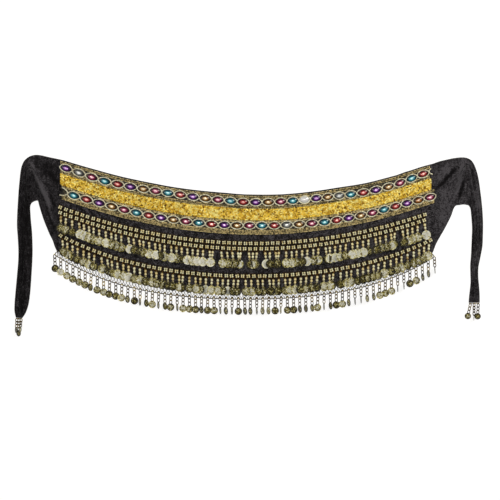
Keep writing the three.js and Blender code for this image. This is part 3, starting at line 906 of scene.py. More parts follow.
def dark_thread():
    return gilt_thread((0.005, 0.003, 0.0015), (0.013, 0.007, 0.003), (0.12, 0.062, 0.014))


def brown_thread():
    return gilt_thread((0.012, 0.006, 0.002), (0.07, 0.034, 0.009), (0.36, 0.2, 0.05))


def net_thread():
    return gilt_thread((0.008, 0.006, 0.003), (0.05, 0.036, 0.012), (0.26, 0.19, 0.06))


def black_thread():
    mix = Finish(Specular_IOR_Level=0.3)
    twist = mix.strands(**TWIST)
    mix.colour(twist, (0.3, (0.006, 0.006, 0.007)), (0.75, (0.045, 0.043, 0.048)))
    return mix.rough(twist, 0.55, 0.8).relief(twist, 0.3)


def metal_thread_with_painted_glints(dark, light, metallic):
    mix = Finish(Metallic=metallic, Specular_IOR_Level=0.25)
    strands = mix.strands((1500, 600, 800), 0.8)
    # The noise paints glints and shade along the thread, between a shaded and a lit copy of one gold.
    mix.colour(mix.noise(300, 1), (0.4, dark), (0.56, light))
    return mix.rough(strands, 0.28, 0.5).relief(strands, 0.25, 0.7)


def lattice_gold():
    gold = bpy.context.scene.belt.trim.gold
    # painted glints: shaded and lit copies of the braid gold
    return metal_thread_with_painted_glints(scaled(gold, 0.25), scaled(gold, 1.38), 0.2)


def plait_gold():
    cream = bpy.context.scene.belt.trim.cream
    # painted glints: shaded and lit copies of the plait gold
    return metal_thread_with_painted_glints(scaled(cream, 0.7), tuple(min(1, c) for c in scaled(cream, 1.35)), 0.1)


def braid_ground():
    mix = Finish(Metallic=0.3)
    cells = mix.add("TexVoronoi", {"Vector": mix.place(), "Scale": 420.0}).outputs["Distance"]
    specks = mix.noise(300, 3)
    woven = mix.weighed((cells, 0.4), (specks, 0.7))
    mix.colour(woven, (0.5, (0.006, 0.005, 0.005)), (0.62, (0.022, 0.017, 0.009)), (0.74, (0.24, 0.19, 0.08)))
    return mix.rough(specks, 0.4, 0.7).relief(cells, 0.5, 0.8)


def band_ground():
    mix = Finish(Metallic=0.6)
    weave = mix.strands((900, 500, 500))
    mix.colour(weave, (0.3, (0.16, 0.09, 0.012)), (0.7, (0.62, 0.42, 0.08)))
    return mix.rough(weave, 0.35, 0.6).relief(weave, 0.3)


def sequin_foil():
    mix = Finish(Metallic=0.5, Specular_IOR_Level=0.2)
    deep, dull, gold, bright = (0.12, 0.05, 0.006), (0.5, 0.27, 0.02), (0.92, 0.62, 0.06), (1.0, 0.88, 0.3)
    mix.colour(mix.attribute("shade"), (0.0, deep), (0.3, dull), (0.6, gold), (1.0, bright))
    return mix.rough(mix.noise(500), 0.3, 0.5)


def gold_beads():
    mix = Finish(Specular_IOR_Level=0.35, Coat_Weight=0.15, Coat_Roughness=0.15)
    noise = mix.noise(260, 3)
    amber, gold, pale = (0.3, 0.16, 0.03), (1.0, 0.84, 0.4), (1.0, 0.98, 0.68)
    mix.colour(mix.noisy_shade(noise, 0.6), (0.15, amber), (0.5, gold), (0.8, pale))
    return mix.rough(noise, 0.18, 0.4)


def chain_metal():
    mix = Finish(Metallic=0.4, Specular_IOR_Level=0.3)
    noise = mix.noise(300, 3)
    black, brown, gold = (0.03, 0.017, 0.002), (0.15, 0.1, 0.014), (0.85, 0.64, 0.18)
    mix.colour(mix.noisy_shade(noise, 0.6), (0.0, black), (0.4, brown), (0.8, gold))
    return mix.rough(noise, 0.22, 0.42)


def stamped_coins():
    """Plated coins, painted as lit and shaded copies of one plating. The relief is a plain sunburst in a ring
    of dots.
    """
    mix = Finish(Metallic=0.1, Specular_IOR_Level=0.4)
    laid = mix.add("UVMap", uv_map="relief").outputs["UV"]
    centred = mix.add("Mapping", {"Vector": laid, "Location": (-0.5, -0.5, 0)}).outputs["Vector"]
    radius = mix.add("VectorMath", {0: centred}, operation="LENGTH").outputs["Value"]
    angle = mix.add("TexGradient", {"Vector": centred}, gradient_type="RADIAL").outputs["Fac"]

    def banded(ring, what):
        past = mix.math("GREATER_THAN", radius, ring["from"])
        short = mix.math("LESS_THAN", radius, ring["to"])
        wave = mix.math("SINE", mix.product(angle, 2 * math.pi * ring["count"]))
        return mix.product(what(wave), mix.product(past, short))

    rays = banded(RAYS, lambda wave: mix.math("ABSOLUTE", wave))
    dots = banded(DOTS, lambda wave: mix.math("GREATER_THAN", wave, 0.1))
    stamped = mix.weighed((rays, 1), (dots, 1), (mix.math("LESS_THAN", radius, BOSS), 1))
    noise = mix.noise(260, 3)
    # each coin's shade is its painted light; the strong noise paints mottled highlights and wear over it, and
    # the raised relief stays lighter than the sunk field, as on antiqued coins
    shade = mix.weighed((mix.noisy_shade(noise, 2.4), 1), (mix.math("SUBTRACT", stamped, 0.4), 0.55))
    mix.colour(
        shade,
        (0.0, (0.02, 0.017, 0.007)),
        (0.28, (0.13, 0.108, 0.024)),
        (0.5, (0.48, 0.4, 0.085)),
        (0.68, (0.92, 0.87, 0.42)),
        (0.84, (1.0, 1.0, 0.9)),
    )
    return mix.rough(noise, 0.12, 0.35).relief(mix.weighed((stamped, 1), (noise, 1.5)), 1.3)


def stone_glass(name, heart, body, rim):
    """Foil-backed glass with painted light: a painted highlight on its table, a lit heart and a shaded rim.
    """

    def mixed():
        mix = Finish(Metallic=0.1, Roughness=0.07, IOR=1.45, Coat_Weight=0.3, Coat_Roughness=0.03)
        # glint is the painted highlight on the table; outer is painted shade towards the rim
        glint, outer = between(heart, (1, 1, 1), 0.5), between(body, rim, 0.4)
        depth = mix.attribute("depth")
        return mix.colour(depth, (0.0, glint), (0.08, heart), (0.22, body), (0.4, outer), (0.6, rim))

    mixed.__name__ = f"{name}_glass"
    return mixed


# Each stone's letter in the braids' rows, its name and the colours of its painted lit heart, body and painted
# shaded rim.
STONES = {
    "T": ("teal", (0.25, 0.75, 0.85), (0.03, 0.27, 0.36), (0.004, 0.045, 0.065)),
    "R": ("red", (0.95, 0.25, 0.2), (0.38, 0.02, 0.025), (0.07, 0.004, 0.006)),
    "V": ("violet", (0.6, 0.2, 0.8), (0.11, 0.014, 0.2), (0.022, 0.003, 0.04)),
    "O": ("topaz", (1.0, 0.75, 0.38), (0.34, 0.16, 0.03), (0.045, 0.02, 0.006)),
    "P": ("pink", (0.98, 0.42, 0.55), (0.32, 0.022, 0.09), (0.05, 0.004, 0.016)),
    "A": ("amber", (0.6, 0.25, 0.04), (0.3, 0.1, 0.012), (0.05, 0.018, 0.004)),
    "C": ("clear", (0.75, 0.78, 0.76), (0.3, 0.32, 0.31), (0.06, 0.06, 0.06)),
    "W": ("white", (1.0, 1.0, 1.0), (1.0, 1.0, 1.0), (0.75, 0.75, 0.75)),
}


def floor_paint():
    stage = bpy.context.scene.belt.stage
    mix = Finish(Roughness=0.9, Emission_Color=(1, 1, 1, 1), Emission_Strength=stage.glow)
    return mix.colour(mix.noise(3), (0.0, scaled(stage.floor, 0.985)), (1.0, tuple(stage.floor)))


# ----------------------------------------------------------------------------------------------------------
# Operators

FLOOR = {"half": 6, "under": 0.3}  # its half width in metres, and how far it lies under the belt
# The soft rectangular lights, in metres, and each one's power in strips.
STRIPS_X = (-1.05, -0.4, 0.25, 0.95)
LAMPS = rows(
    ("name", "place", "size", "share"),
    *((f"strip_{number}", (x, 0.35, 2.5), (0.16, 2.4), 1) for number, x in enumerate(STRIPS_X)),
    ("window", (1.7, 1.7, 1.9), (0.9, 0.9), 5),
    ("fill", (-2.2, 1.0, 2.2), (1.2, 1.2), 2),
)
LAMP_COLOUR = (1, 0.96, 0.88)
SKY_COLOUR = (1, 0.98, 0.94, 1)


class BeltOperator:
    """What every operator of the belt shares."""

    bl_options = {"REGISTER", "UNDO"}

    def execute(self, context):
        self.build(context.scene.belt)
        return {"FINISHED"}


class BELT_OT_stage(BeltOperator, bpy.types.Operator):
    """Add the floor, the soft lights and a camera that looks straight down"""

    bl_idname = "belt.stage"
    bl_label = "Stage"

    def build(self, belt):
        stage = belt.stage
        bm = bmesh.new()
        under = Matrix.Translation((0, 0, -FLOOR["under"] * MM))
        bmesh.ops.create_grid(bm, x_segments=1, y_segments=1, size=FLOOR["half"], matrix=under)
        mesh = mesh_of("floor", bm)
        mesh.materials.append(material(floor_paint))
        floor = add_object("floor", mesh)

        lens = bpy.data.cameras.new("camera")
        lens.lens = lens.sensor_width * stage.height / stage.span
        camera = add_object("camera", lens)
        camera.location = (*stage.centre, stage.height)
        bpy.context.scene.camera = camera

        for lamp in LAMPS:
            self.lamp(lamp, stage.lamps)
        world = bpy.data.worlds.new("daylight")
        world.use_nodes = True
        sky = world.node_tree.nodes["Background"].inputs
        sky["Color"].default_value = SKY_COLOUR
        sky["Strength"].default_value = stage.daylight
        bpy.context.scene.world = world
        bpy.context.scene.view_settings.view_transform = "Standard"

    def lamp(self, lamp, power):
        """A soft rectangular light, turned to the belt."""
        light = bpy.data.lights.new(lamp["name"], "AREA")
        light.shape = "RECTANGLE"
        light.size, light.size_y = lamp["size"]
        light.energy = lamp["share"] * power
        light.color = LAMP_COLOUR
        place = Vector(lamp["place"])
        made = add_object(lamp["name"], light)
        made.matrix_world = Matrix.Translation(place) @ (-place).to_track_quat("-Z", "Y").to_matrix().to_4x4()
        made.visible_camera = False


def shares(steps):
    """Even shares from 0 to 1."""
    return [step / steps for step in range(steps + 1)]


def stitch_line(path, stitch, gap):
    """Short straight stitches along a path of points in metres."""
    runs = []
    spent = 0.0
    for start, end in zip(path, path[1:]):
        spent += (end - start).length
        if spent >= (stitch + gap) * MM:
            spent = 0.0
            along = (end - start).normalized() * stitch * MM / 2
            runs.append([end - along, end + along])
    return runs


PANEL_STEPS = (330, 84)
PANEL_EDGE = {"radius": 1.05, "inside": 0.9, "under": 1.1}  # its roll: under is below the cloth's top
STITCH = {"drops": (1.2, HEM - 4), "from_x": -408, "to_x": 402, "length": 2.6, "gap": 2.4, "radius": 0.3}


class BELT_OT_hip_panel(BeltOperator, bpy.types.Operator):
    """Add the velvet crescent with its rolled edge and hem stitches"""

    bl_idname = "belt.hip_panel"
    bl_label = "Hip Panel"

    def build(self, belt):
        def place(u, v):
            return on_panel(across_panel(u, HEM * v), HEM * v)

        panel = sheet("hip_panel_velvet", PANEL_STEPS, place, velvet_pile, "velvet", CLOTH - 0.2)
        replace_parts(panel, "hip_panel")
        radius = PANEL_EDGE["radius"] * MM
        rolled = cords("hip_panel_edge", [self.edge()], radius, velvet_edge, 2, closed=True)
        stitches = []
        for drop in STITCH["drops"]:
            row = [on_panel(x, drop, 0.1) for x in range(STITCH["from_x"], STITCH["to_x"])]
            stitches += stitch_line(row, STITCH["length"], STITCH["gap"])
        sewn = cords("hip_panel_stitches", stitches, STITCH["radius"] * MM, black_thread, 0)

    def edge(self):
        """The line round the panel, in metres."""
        inside, under = PANEL_EDGE["inside"], -PANEL_EDGE["under"]
        low = HEM - inside
        top = [on_panel(across_panel(u, inside), inside, under) for u in shares(160)]
        hem = [on_panel(across_panel(u, low), low, under) for u in reversed(shares(160))]
        drops = [HEM * share for share in shares(24)[1:-1]]
        right = [on_panel(by_drop(ENDS, "right", drop) - inside, drop, under) for drop in drops]
        left = [on_panel(by_drop(ENDS, "left", drop) + inside, drop, under) for drop in reversed(drops)]
        return top + right + hem + left


TIE_STEPS = (230, 110)
TIE_EDGE = {"radius": 0.95, "inside": 0.008, "under": 0.85}  # inside is a share of the tie's width
TIE_SEAM = {"radius": 0.65, "under": 0.8}


class BELT_OT_ties(BeltOperator, bpy.types.Operator):
    """Add the gathered velvet ends and ties"""

    bl_idname = "belt.ties"
    bl_label = "Ties"

    def build(self, belt):
        for name, tie in TIES.items():
            flip = tie["outward"] < 0

            def place(u, v):
                return tie_point(tie, 1 - u if flip else u, v)

            velvet = sheet(f"{name}_velvet", TIE_STEPS, place, gathered_velvet, "velvet", CLOTH - 0.5)
            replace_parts(velvet, name)
            under = Vector((0, 0, TIE_EDGE["under"] * MM))
            sides = [
                [tie_point(tie, along, across) - under for along in shares(200)]
                for across in (TIE_EDGE["inside"], 1 - TIE_EDGE["inside"])
            ]
            rolled = cords(f"{name}_edge", sides, TIE_EDGE["radius"] * MM, velvet_edge, 2)
            off = Vector((-0.5 * tie["outward"] * SEAM, 0, -TIE_SEAM["under"])) * MM
            line = [tie_point(tie, 0, across) + off for across in shares(120)]
            seam = cords(f"{name}_seam", [line], TIE_SEAM["radius"] * MM, velvet_edge, 1)


def stone_place(braid, number):
    """The x and the drop of a stone of a braid. A fraction lies between two stones."""
    first, last = braid["stones"]
    share = number / (len(braid["colours"]) - 1)
    x = lerp(first, last, share) + listed(braid["along"], share)
    return x, braid["plait"] + listed(braid["down"], share)


RIBBON_STEPS = (260, 6)
# How high the braid's parts lie: its ground, the lattice's crossing and straight cords, and the plait.
BRAID_TOP = 1.0
LATTICE = {"radius": 0.6, "up": 1.5, "weave": 0.35, "straight": 1.6, "inside": 0.6}
PLAIT = {"steps": 18, "swing": 0.55, "up": 1.9, "weave": 0.8}


class BELT_OT_gem_braids(BeltOperator, bpy.types.Operator):
    """Add the woven ground, the lattice borders and the crossing plait of both gem braids"""

    bl_idname = "belt.gem_braids"
    bl_label = "Gem Braids"

    def build(self, belt):
        trim = belt.trim
        for name, braid in BRAIDS.items():
            left, right, *_ = ribbon(name, braid, BRAID_TOP, 0.9, braid_ground, "braid")
            lattice = []
            for border in braid["borders"]:
                lattice += self.lattice(left, right, border, trim.lattice / MM)
            cords(f"{name}_lattice", lattice, LATTICE["radius"] * MM, lattice_gold, 0)
            cords(f"{name}_plait", self.plait(braid, trim.ring / MM), trim.cord, plait_gold, 1)

    def lattice(self, left, right, border, pitch):
        """Crossing zigzags between two straight cords, in as many bands as the border is wide."""
        top, bottom = border
        bands = max(1, round((bottom - top) / (0.5 * pitch)))
        count = int((right - left) / (pitch / 2))
        runs = []
        for band in range(bands):
            drops = lerp(top, bottom, band / bands), lerp(top, bottom, (band + 1) / bands)
            for phase in (0, 1):
                run = []
                for step in range(count + 1):
                    x = lerp(left + LATTICE["inside"], right - LATTICE["inside"], step / count)
                    over = LATTICE["weave"] * (-1) ** (step // 2 + phase)
                    run.append(on_panel(x, drops[(step + phase) % 2], LIFT + LATTICE["up"] + over))
                runs.append(run)
        for drop in border:
            up = LIFT + LATTICE["straight"]
            runs.append([on_panel(lerp(left, right, u), drop, up) for u in shares(260)])
        return runs

    def plait(self, braid, ring):
        """Two cords that swing out round each stone and cross between them, each over the other in turn."""
        steps = PLAIT["steps"]
        start = round(-braid["before"] * steps)
        end = round((len(braid["colours"]) - 1 + braid["after"]) * steps)
        runs = []
        for side in (1, -1):
            run = []
            for step in range(start, end + 1):
                turn = math.pi * step / steps
                off = side * ring * math.copysign(abs(math.cos(turn)) ** PLAIT["swing"], math.cos(turn))
                up = LIFT + PLAIT["up"] + PLAIT["weave"] * side * math.sin(turn)
                run.append(beside(*stone_place(braid, step / steps), off, up))
            runs.append(run)
        return runs


class BELT_OT_stones(BeltOperator, bpy.types.Operator):
    """Add the oval stones, one piece for each colour"""

    bl_idname = "belt.stones"
    bl_label = "Stones"

    def build(self, belt):
        cut = stone_shape(belt.trim.stone)
        for letter, (name, *colours) in STONES.items():
            bm = bmesh.new()
            for braid in BRAIDS.values():
                for number in [k for k, named in enumerate(braid["colours"]) if named == letter]:
                    x, drop = stone_place(braid, number)
                    stamp(bm, cut, turned_place(on_panel(x, drop, LIFT + BRAID_TOP), slope(x, drop)))
            glass = stone_glass(name, *colours)
            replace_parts(add_piece(f"stones_{name}", bm, glass, smooth_faces=False), *BRAIDS)


BAND_TOP = 0.5
# The sequins' rows, how many lie in each, how far they stray, their height over the cloth and each one's step
# over its neighbour, and how far they lean, in degrees.
SEQUINS = {
    "rows": 10, "columns": 300, "stray": (0.5, 0.4), "thick": 0.16, "up": 1.05, "step": 0.25, "lean": 11,
}
SEQUIN_INSETS = (2, 1.6)  # from the band's ends and from its edges


class BELT_OT_sequin_band(BeltOperator, bpy.types.Operator):
    """Add the gold band and its sequins"""

    bl_idname = "belt.sequin_band"
    bl_label = "Sequin Band"

    def build(self, belt):
        left, right, top, bottom = ribbon("sequin_band", BAND, BAND_TOP, 0.45, band_ground, "sequins")
        chance = random.Random(7)
        disc = disc_shape(belt.trim.sequin, SEQUINS["thick"] * MM)
        columns, (stray_x, stray_drop), (end, edge) = SEQUINS["columns"], SEQUINS["stray"], SEQUIN_INSETS
        bm = bmesh.new()
        for row, down in enumerate(shares(SEQUINS["rows"] - 1)):
            for column in range(columns):
                along = (column + 0.5 * (row % 2)) / (columns - 0.5)
                x = lerp(left + end, right - end, along) + chance.uniform(-stray_x, stray_x)
                drop = lerp(top + edge, bottom - edge, down) + chance.uniform(-stray_drop, stray_drop)
                point = on_panel(x, drop, LIFT + SEQUINS["up"] + SEQUINS["step"] * ((row + column) % 3))
                place = Matrix.Translation(point)
                for axis in "XY":
                    place @= Matrix.Rotation(math.radians(chance.gauss(0, SEQUINS["lean"])), 4, axis)
                shade = 0.6 + 0.4 * noise.noise(point * 170) + 0.25 * noise.noise(point * 60)
                stamp(bm, disc, place, shade + chance.gauss(0, 0.25))
        add_piece("sequin_band_sequins", bm, sequin_foil, smooth_faces=False)


# Each four's beads: how far off its middle they lie, their stretch, and their height over the cloth.
FOUR = {"off": (2.15, 1.95), "stretch": (0.98, 1.08), "up": 1.7, "inside": 4, "stray": 0.7, "lean": 5}
# The threads of a crochet: how far down from a row's top, middle or bottom each runs, and how far it winds.
CROCHET = rows(
    ("of", "down", "wind"),
    ("top", -1.4, 0.9),
    ("top", 0, 0.5),
    ("middle", 0, 0.6),
    ("bottom", 0, 0.5),
    ("bottom", 1.4, 0.9),
)
WIND = {"turns": 2.1, "up": 1.1, "weave": 0.3, "inside": 1, "radius": 0.65}
# The threads that cross between two fours: how far each starts to the side, and its height at both ends.
BARS = ((-0.8, 1.0, 1.2), (0.8, 1.4, 0.9))


class BELT_OT_bead_rows(BeltOperator, bpy.types.Operator):
    """Add the three crocheted rows of gold beads in fours"""

    bl_idname = "belt.bead_rows"
    bl_label = "Bead Rows"

    def build(self, belt):
        bead = bead_shape()
        fours = belt.coins.fours
        for name, row in BEAD_ROWS.items():
            chance = random.Random(name)
            top, bottom = row["drops"]
            drops = {"top": top, "middle": (top + bottom) / 2, "bottom": bottom}
            left, right = reach_of(row["insets"], drops["middle"])
            bm = bmesh.new()
            threads = []
            for thread in CROCHET:
                drop = drops[thread["of"]] + thread["down"]
                threads.append(self.winding(left, right, drop, thread["wind"]))
            for number in range(fours):
                x = lerp(left + FOUR["inside"], right - FOUR["inside"], number / (fours - 1))
                x += chance.uniform(-FOUR["stray"], FOUR["stray"])
                self.four(bm, bead, x, drops["middle"], belt.coins.bead, chance)
                gap = x + (right - left) / fours / 2
                if number < fours - 1:
                    for aside, high, low in BARS:
                        upper = on_panel(gap + aside, top, LIFT + high)
                        threads.append([upper, on_panel(gap - aside, bottom, LIFT + low)])
            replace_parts(add_piece(f"{name}_beads", bm, gold_beads), name)
            cords(f"{name}_crochet", threads, WIND["radius"] * MM, dark_thread, 0)

    def four(self, bm, bead, x, drop, radius, chance):
        """Four beads in a square."""
        twist = slope(x, drop) + math.radians(chance.gauss(0, FOUR["lean"]))
        middle = turned_place(on_panel(x, drop, LIFT + FOUR["up"]), twist)
        (off_x, off_y), (wide, long) = FOUR["off"], FOUR["stretch"]
        for along in (-1, 1):
            for up in (-1, 1):
                off = Vector((off_x * along, off_y * up, chance.uniform(-0.2, 0.3))) * MM
                size = radius * chance.uniform(0.94, 1.06)
                shape = Matrix.Diagonal((wide * size, long * size, size, 1))
                place = middle @ Matrix.Translation(off) @ shape
                stamp(bm, bead, place, chance.gauss(0.68, 0.1))

    def winding(self, left, right, drop, wind):
        """A thread that winds along a row."""
        run = []
        for share in shares(600):
            x = lerp(left + WIND["inside"], right - WIND["inside"], share)
            turn = WIND["turns"] * x
            up = LIFT + WIND["up"] + WIND["weave"] * math.cos(turn)
            run.append(on_panel(x, drop + wind * math.sin(turn), up))
        return run


def row_drops(name):
    """Where each coin of a row hangs: x, how far its middle is to the side, its level over the cloth and the
    letter of its painted light."""
    chance = random.Random(name)
    left, right = BEAD_ROWS[name]["insets"]
    bottom = BEAD_ROWS[name]["drops"][1]
    first, last = reach_of((left + COIN_INSET, right + COIN_INSET), bottom)
    tones = COIN_ROW_PAINTED_LIGHT[name]
    for number, (tone, swing) in enumerate(zip(tones, COIN_SWINGS[name])):
        aside = SWING_STEP * (int(swing) - 4)
        x = lerp(first, last, number / (len(tones) - 1)) + 0.4 * aside + chance.uniform(-0.5, 0.5)
        level = 0.5 + COIN["thick"] / 2 + 0.8 * (number % 2)
        yield x, 0.6 * aside, level, tone


# A stem: how far down its beads lie, their half sizes and their height over the cloth; how far its two loops
# lie to the side, and how high.
STEM = {"beads": (7, 13.7), "wide": 2.75, "long": 3.35, "up": 3.1, "loops": (-1.9, 1.9), "low": 1.5}
STEM_THREAD = ((-1.5, 1.6), (3, 2.6), (16, 2.6))  # how far down it passes, and how high
STEM_CORD = 0.75  # the radius of its threads
# The ring that carries the coin.
JUMP_RING = {"radius": 1.6, "wire": 0.45, "steps": 8, "down": 0.4, "shade": 0.55}
KEEP_SIDE = 0.75  # the chance that a coin leans to the same side as the one before it
UNDER_COIN = (-20, -10, 0, 10, 20)  # where the cloth's height is taken, to the side


class BELT_OT_coin_rows(BeltOperator, bpy.types.Operator):
    """Add the coins of both rows, on stems of two beads"""

    bl_idname = "belt.coin_rows"
    bl_label = "Coin Rows"

    def build(self, belt):
        size = belt.coins
        reach, radius = size.reach / MM, size.row_coin / MM
        bead, struck = bead_shape(), coin_shape(size.row_coin)
        ring = ring_shape(JUMP_RING["radius"] * MM, JUMP_RING["wire"] * MM, JUMP_RING["steps"])
        for name in COIN_ROW_PAINTED_LIGHT:
            chance = random.Random(name + " coins")
            bottom = BEAD_ROWS[name]["drops"][1]
            beads, coins = bmesh.new(), bmesh.new()
            threads = []
            side = 1
            for x, aside, level, tone in row_drops(name):
                side = side if chance.random() < KEEP_SIDE else -side
                under = [min(HEM, bottom + off) for off in (reach - radius, reach, reach + radius)]
                floor = max(cloth_top(x + off, drop) for off in UNDER_COIN for drop in under)
                swing = math.atan2(aside, reach)
                cloth = cloth_top(x, bottom)
                hung = turned_place(Vector((x, line_y(x, bottom), 0)) * MM, swing)

                def at(down, height):
                    return hung @ Vector((0, -down * MM, height * MM))

                for down in STEM["beads"]:
                    wide = STEM["wide"] * MM * chance.uniform(0.92, 1.08)
                    oval = Matrix.Diagonal((wide, STEM["long"] * MM, wide, 1))
                    place = turned_place(at(down, cloth + STEM["up"]), swing) @ oval
                    stamp(beads, bead, place, chance.gauss(0.66, 0.14))
                tilt = side * size.tilt * chance.uniform(0.4, 1)
                height = floor + level + radius * math.sin(abs(tilt))
                eye = at(reach - radius + JUMP_RING["down"], height)
                stamp(beads, ring, turned_place(eye), JUMP_RING["shade"])
                threads.append([at(down, cloth + up) for down, up in STEM_THREAD] + [eye])
                for away in STEM["loops"]:
                    aside = Vector((away * MM, 0, 0))
                    threads.append([at(down, cloth + STEM["low"]) + bow * aside for down, bow in LOOP])
                lean = Matrix.Rotation(math.radians(chance.uniform(-4, 4)), 4, "X")
                spin = Matrix.Rotation(chance.uniform(0, 2 * math.pi), 4, "Z")
                coin = Matrix.Translation(at(reach, height)) @ lean @ Matrix.Rotation(tilt, 4, "Y") @ spin
                coin @= Matrix.Scale(chance.uniform(0.96, 1), 4)
                stamp(coins, struck, coin, PAINTED_COIN_SHADE[tone] + chance.gauss(0, 0.05))
            add_piece(f"{name}_stems", beads, gold_beads)
            cords(f"{name}_threads", threads, STEM_CORD * MM, brown_thread, 0)
            add_coins(name, coins)


# How high the fringe's coins lie over the floor, and how much higher every second flat one lies.
FRINGE_CLEAR = 0.4
FRINGE_LEVEL = 1.8


def hanging(x, y, reach, radius, lay, swing, upper):
    """A loose chain's place at its root, lifted off the floor and swung, and how its coin turns about it."""
    root = NET["base"] + NET["thick"] / 2
    turn = math.radians(TURN[lay])
    low = FRINGE_CLEAR + radius * math.sin(turn) + COIN["thick"] / 2
    if lay == "F":
        low += NET["base"] + (FRINGE_LEVEL if upper else 0)
    lift = math.asin((low - root) / reach)
    place = turned_place(Vector((x, y, root)) * MM, math.radians(swing)) @ Matrix.Rotation(-lift, 4, "X")
    return place, Matrix.Translation((0, -reach * MM, 0)) @ Matrix.Rotation(turn, 4, "Y")


def net_drop(x):
    """The drop of the net's slack thread: deepest at the belt's middle."""
    return NET["drop"] + 3.5 * (1 - (x / 420) ** 2)


# The links of a chain: how far they run past its end, how far they overlap, how high their wire stays, the
# sine of the most that they turn, and how narrow and long they are pressed.
CHAIN = {"past": 1.2, "overlap": 1.2, "clear": 1.35, "turn": 0.4, "pressed": (0.68, 1.06, 1, 1)}


def add_chain(bm, link, place, room, chance):
    """Links from the root down to the coin's top edge, each turned a little and clear of the floor."""
    radius = max(link.vertices[0].co.length, link.vertices[2].co.length)
    room = (room + CHAIN["past"]) * MM
    count = max(2, round(room / (2 * radius - CHAIN["overlap"] * MM)))
    pitch = room / count
    for number in range(count):
        centre = place @ Matrix.Translation((0, -pitch * (number + 0.5), 0))
        most = math.asin(min(CHAIN["turn"], (centre.translation.z - CHAIN["clear"] * MM) / radius))
        turn = Matrix.Rotation(max(0, most) * chance.uniform(0.6, 1) * (-1) ** number, 4, "Y")
        stamp(bm, link, centre @ turn @ Matrix.Diagonal(CHAIN["pressed"]), chance.gauss(0.22, 0.18))


NET_UP = NET["base"] + 1.2  # the height of the net's threads
KNOT = (1.9, 1.7, 1.2)  # its half sizes
# The net's cords: their radius, how far the slack thread sags between two roots and its steps there, and how
# far inside the hem and the panel's ends the crossing threads are sewn on.
NET_CORD = {"radius": 1.1, "sag": 1.4, "steps": 6, "hem": 0.6, "ends": 1.5, "up": 0.3}


class BELT_OT_net_fringe(BeltOperator, bpy.types.Operator):
    """Add the thread net along the hem, its chains and its coins"""

    bl_idname = "belt.net_fringe"
    bl_label = "Net Fringe"

    def build(self, belt):
        chance = random.Random(23)
        size = belt.coins
        radius = size.fringe_coin / MM
        link, struck, knot = ring_shape(size.link, size.wire), coin_shape(size.fringe_coin), bead_shape()
        roots = [lerp(NET["from_x"], NET["to_x"], share) for share in shares(len(FRINGE_LAY) - 1)]
        chains, coins, knots = bmesh.new(), bmesh.new(), bmesh.new()
        for number, (x, lay, tone) in enumerate(zip(roots, FRINGE_LAY, FRINGE_PAINTED_LIGHT)):
            y = line_y(x, NET["drop"]) - NET["half"]
            place, turn = hanging(x, y, FRINGE_REACH, radius, lay, chance.gauss(0, 1.2), number % 2 == 1)
            add_chain(chains, link, place, FRINGE_REACH - radius, chance)
            spin = Matrix.Rotation(chance.uniform(0, 2 * math.pi), 4, "Z")
            stamp(coins, struck, place @ turn @ spin, PAINTED_COIN_SHADE[tone] + chance.gauss(0, 0.05))
            tied = Matrix.Translation(self.on_net(x)) @ Matrix.Diagonal([*(half * MM for half in KNOT), 1])
            stamp(knots, knot, tied, chance.gauss(0.5, 0.2))
        add_piece("net_fringe_chains", chains, chain_metal)
        add_piece("net_fringe_knots", knots, gold_beads)
        add_coins("net_fringe", coins)
        cords("net_fringe_net", self.net(roots), NET_CORD["radius"] * MM, net_thread, 1)

    def on_net(self, x, sag=0.0):
        """A point of the slack thread, in metres."""
        return Vector((x, line_y(x, net_drop(x)) - sag, NET_UP)) * MM

    def net(self, roots):
        """A slack thread from root to root, and crossing threads that net the space up to the hem."""
        slack = []
        for start, end in zip(roots, roots[1:]):
            for share in shares(NET_CORD["steps"])[:-1]:
                sag = NET_CORD["sag"] * math.sin(math.pi * share)
                slack.append(self.on_net(lerp(start, end, share), sag))
        runs = [slack]
        low, high = (by_drop(ENDS, end, HEM) for end in ("left", "right"))
        for phase in (0, 1):
            run = []
            for step, share in enumerate(shares(2 * len(roots) - 2)):
                x = lerp(roots[0], roots[-1], share)
                if (step + phase) % 2:
                    run.append(self.on_net(x))
                else:
                    x = held(x, low + NET_CORD["ends"], high - NET_CORD["ends"])
                    up = cloth_top(x, HEM) + NET_CORD["up"]
                    run.append(Vector((x, line_y(x, HEM - NET_CORD["hem"]), up)) * MM)
            runs.append(run)
        return runs


# The strip on a tie's tip, with its thread, and the beads along it: their radius, and where they lie.
TASSEL_STRIP = {"thread": 0.6, "bead": 1.35, "beads": 5, "first": 0.08, "step": 0.21}


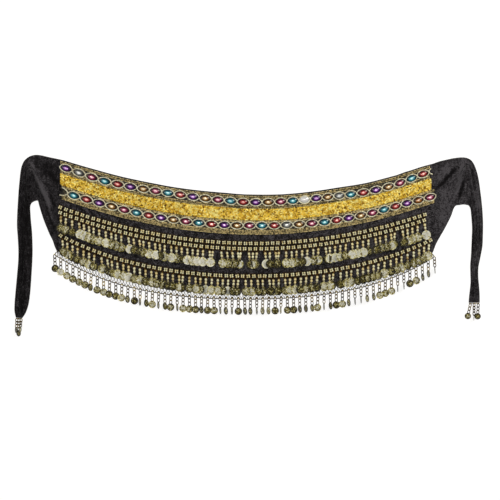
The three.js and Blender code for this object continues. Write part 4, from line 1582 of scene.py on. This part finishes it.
class BELT_OT_tassels(BeltOperator, bpy.types.Operator):
    """Add the beads, chains and coins on the ties' tips"""

    bl_idname = "belt.tassels"
    bl_label = "Tassels"

    def build(self, belt):
        size = belt.coins
        link, bead = ring_shape(0.9 * size.link, size.wire), bead_shape()
        struck = coin_shape(TASSEL_COIN * MM)
        down = SEAM + NET["half"]
        for (name, hung), tie in zip(TASSELS.items(), TIES.values()):
            chance = random.Random(name)
            tip = tie["sections"][-1]
            corners = [Vector((tip[f"{edge}_x"], tip[f"{edge}_y"] - down, NET_UP)) for edge in ("out", "in")]
            chains, coins = bmesh.new(), bmesh.new()
            for number, chain in enumerate(hung):
                x, y, _ = corners[0].lerp(corners[1], chain["at"])
                lie = (chain["reach"], TASSEL_COIN, chain["lay"], chain["swing"], number % 2 == 1)
                place, turn = hanging(x, y - NET["half"], *lie)
                add_chain(chains, link, place, chain["reach"] - TASSEL_COIN, chance)
                stamp(coins, struck, place @ turn, PAINTED_COIN_SHADE[chain["tone"]])
            for number in range(TASSEL_STRIP["beads"]):
                share = TASSEL_STRIP["first"] + TASSEL_STRIP["step"] * number
                place = Matrix.Translation(corners[0].lerp(corners[1], share) * MM)
                place @= Matrix.Scale(TASSEL_STRIP["bead"] * MM, 4)
                stamp(chains, bead, place, chance.gauss(0.55, 0.15))
            add_piece(f"{name}_chains", chains, chain_metal)
            add_coins(name, coins)
            line = [corner * MM for corner in corners]
            cords(f"{name}_thread", [line], TASSEL_STRIP["thread"] * MM, black_thread, 1)


class BELT_PT_sidebar(bpy.types.Panel):
    """The belt's pieces and settings"""

    bl_label = "Belly Dance Belt"
    bl_idname = "BELT_PT_sidebar"
    bl_space_type = "VIEW_3D"
    bl_region_type = "UI"
    bl_category = "Belt"

    def draw(self, context):
        layout = self.layout
        for operator in OPERATORS:
            layout.operator(operator.bl_idname)
        belt = context.scene.belt
        for group in (belt.cloth, belt.trim, belt.coins, belt.stage):
            box = layout.box()
            box.label(text=type(group).__name__.removesuffix("Settings"))
            for name in group.__annotations__:
                box.prop(group, name)


OPERATORS = (
    BELT_OT_stage,
    BELT_OT_hip_panel,
    BELT_OT_ties,
    BELT_OT_gem_braids,
    BELT_OT_stones,
    BELT_OT_sequin_band,
    BELT_OT_bead_rows,
    BELT_OT_coin_rows,
    BELT_OT_net_fringe,
    BELT_OT_tassels,
)
SETTINGS = (ClothSettings, TrimSettings, CoinSettings, StageSettings, BeltSettings)
CLASSES = (*SETTINGS, *OPERATORS, BELT_PT_sidebar)


def register():
    for cls in CLASSES:
        bpy.utils.register_class(cls)
    belt = {"name": "Belt", "description": "The belt's settings"}
    bpy.types.Scene.belt = bpy.props.PointerProperty(type=BeltSettings, **belt)


def unregister():
    del bpy.types.Scene.belt
    for cls in reversed(CLASSES):
        bpy.utils.unregister_class(cls)


def main():
    register()
    for operator in OPERATORS:
        group, name = operator.bl_idname.split(".")
        getattr(getattr(bpy.ops, group), name)()


if __name__ == "__main__":
    main()
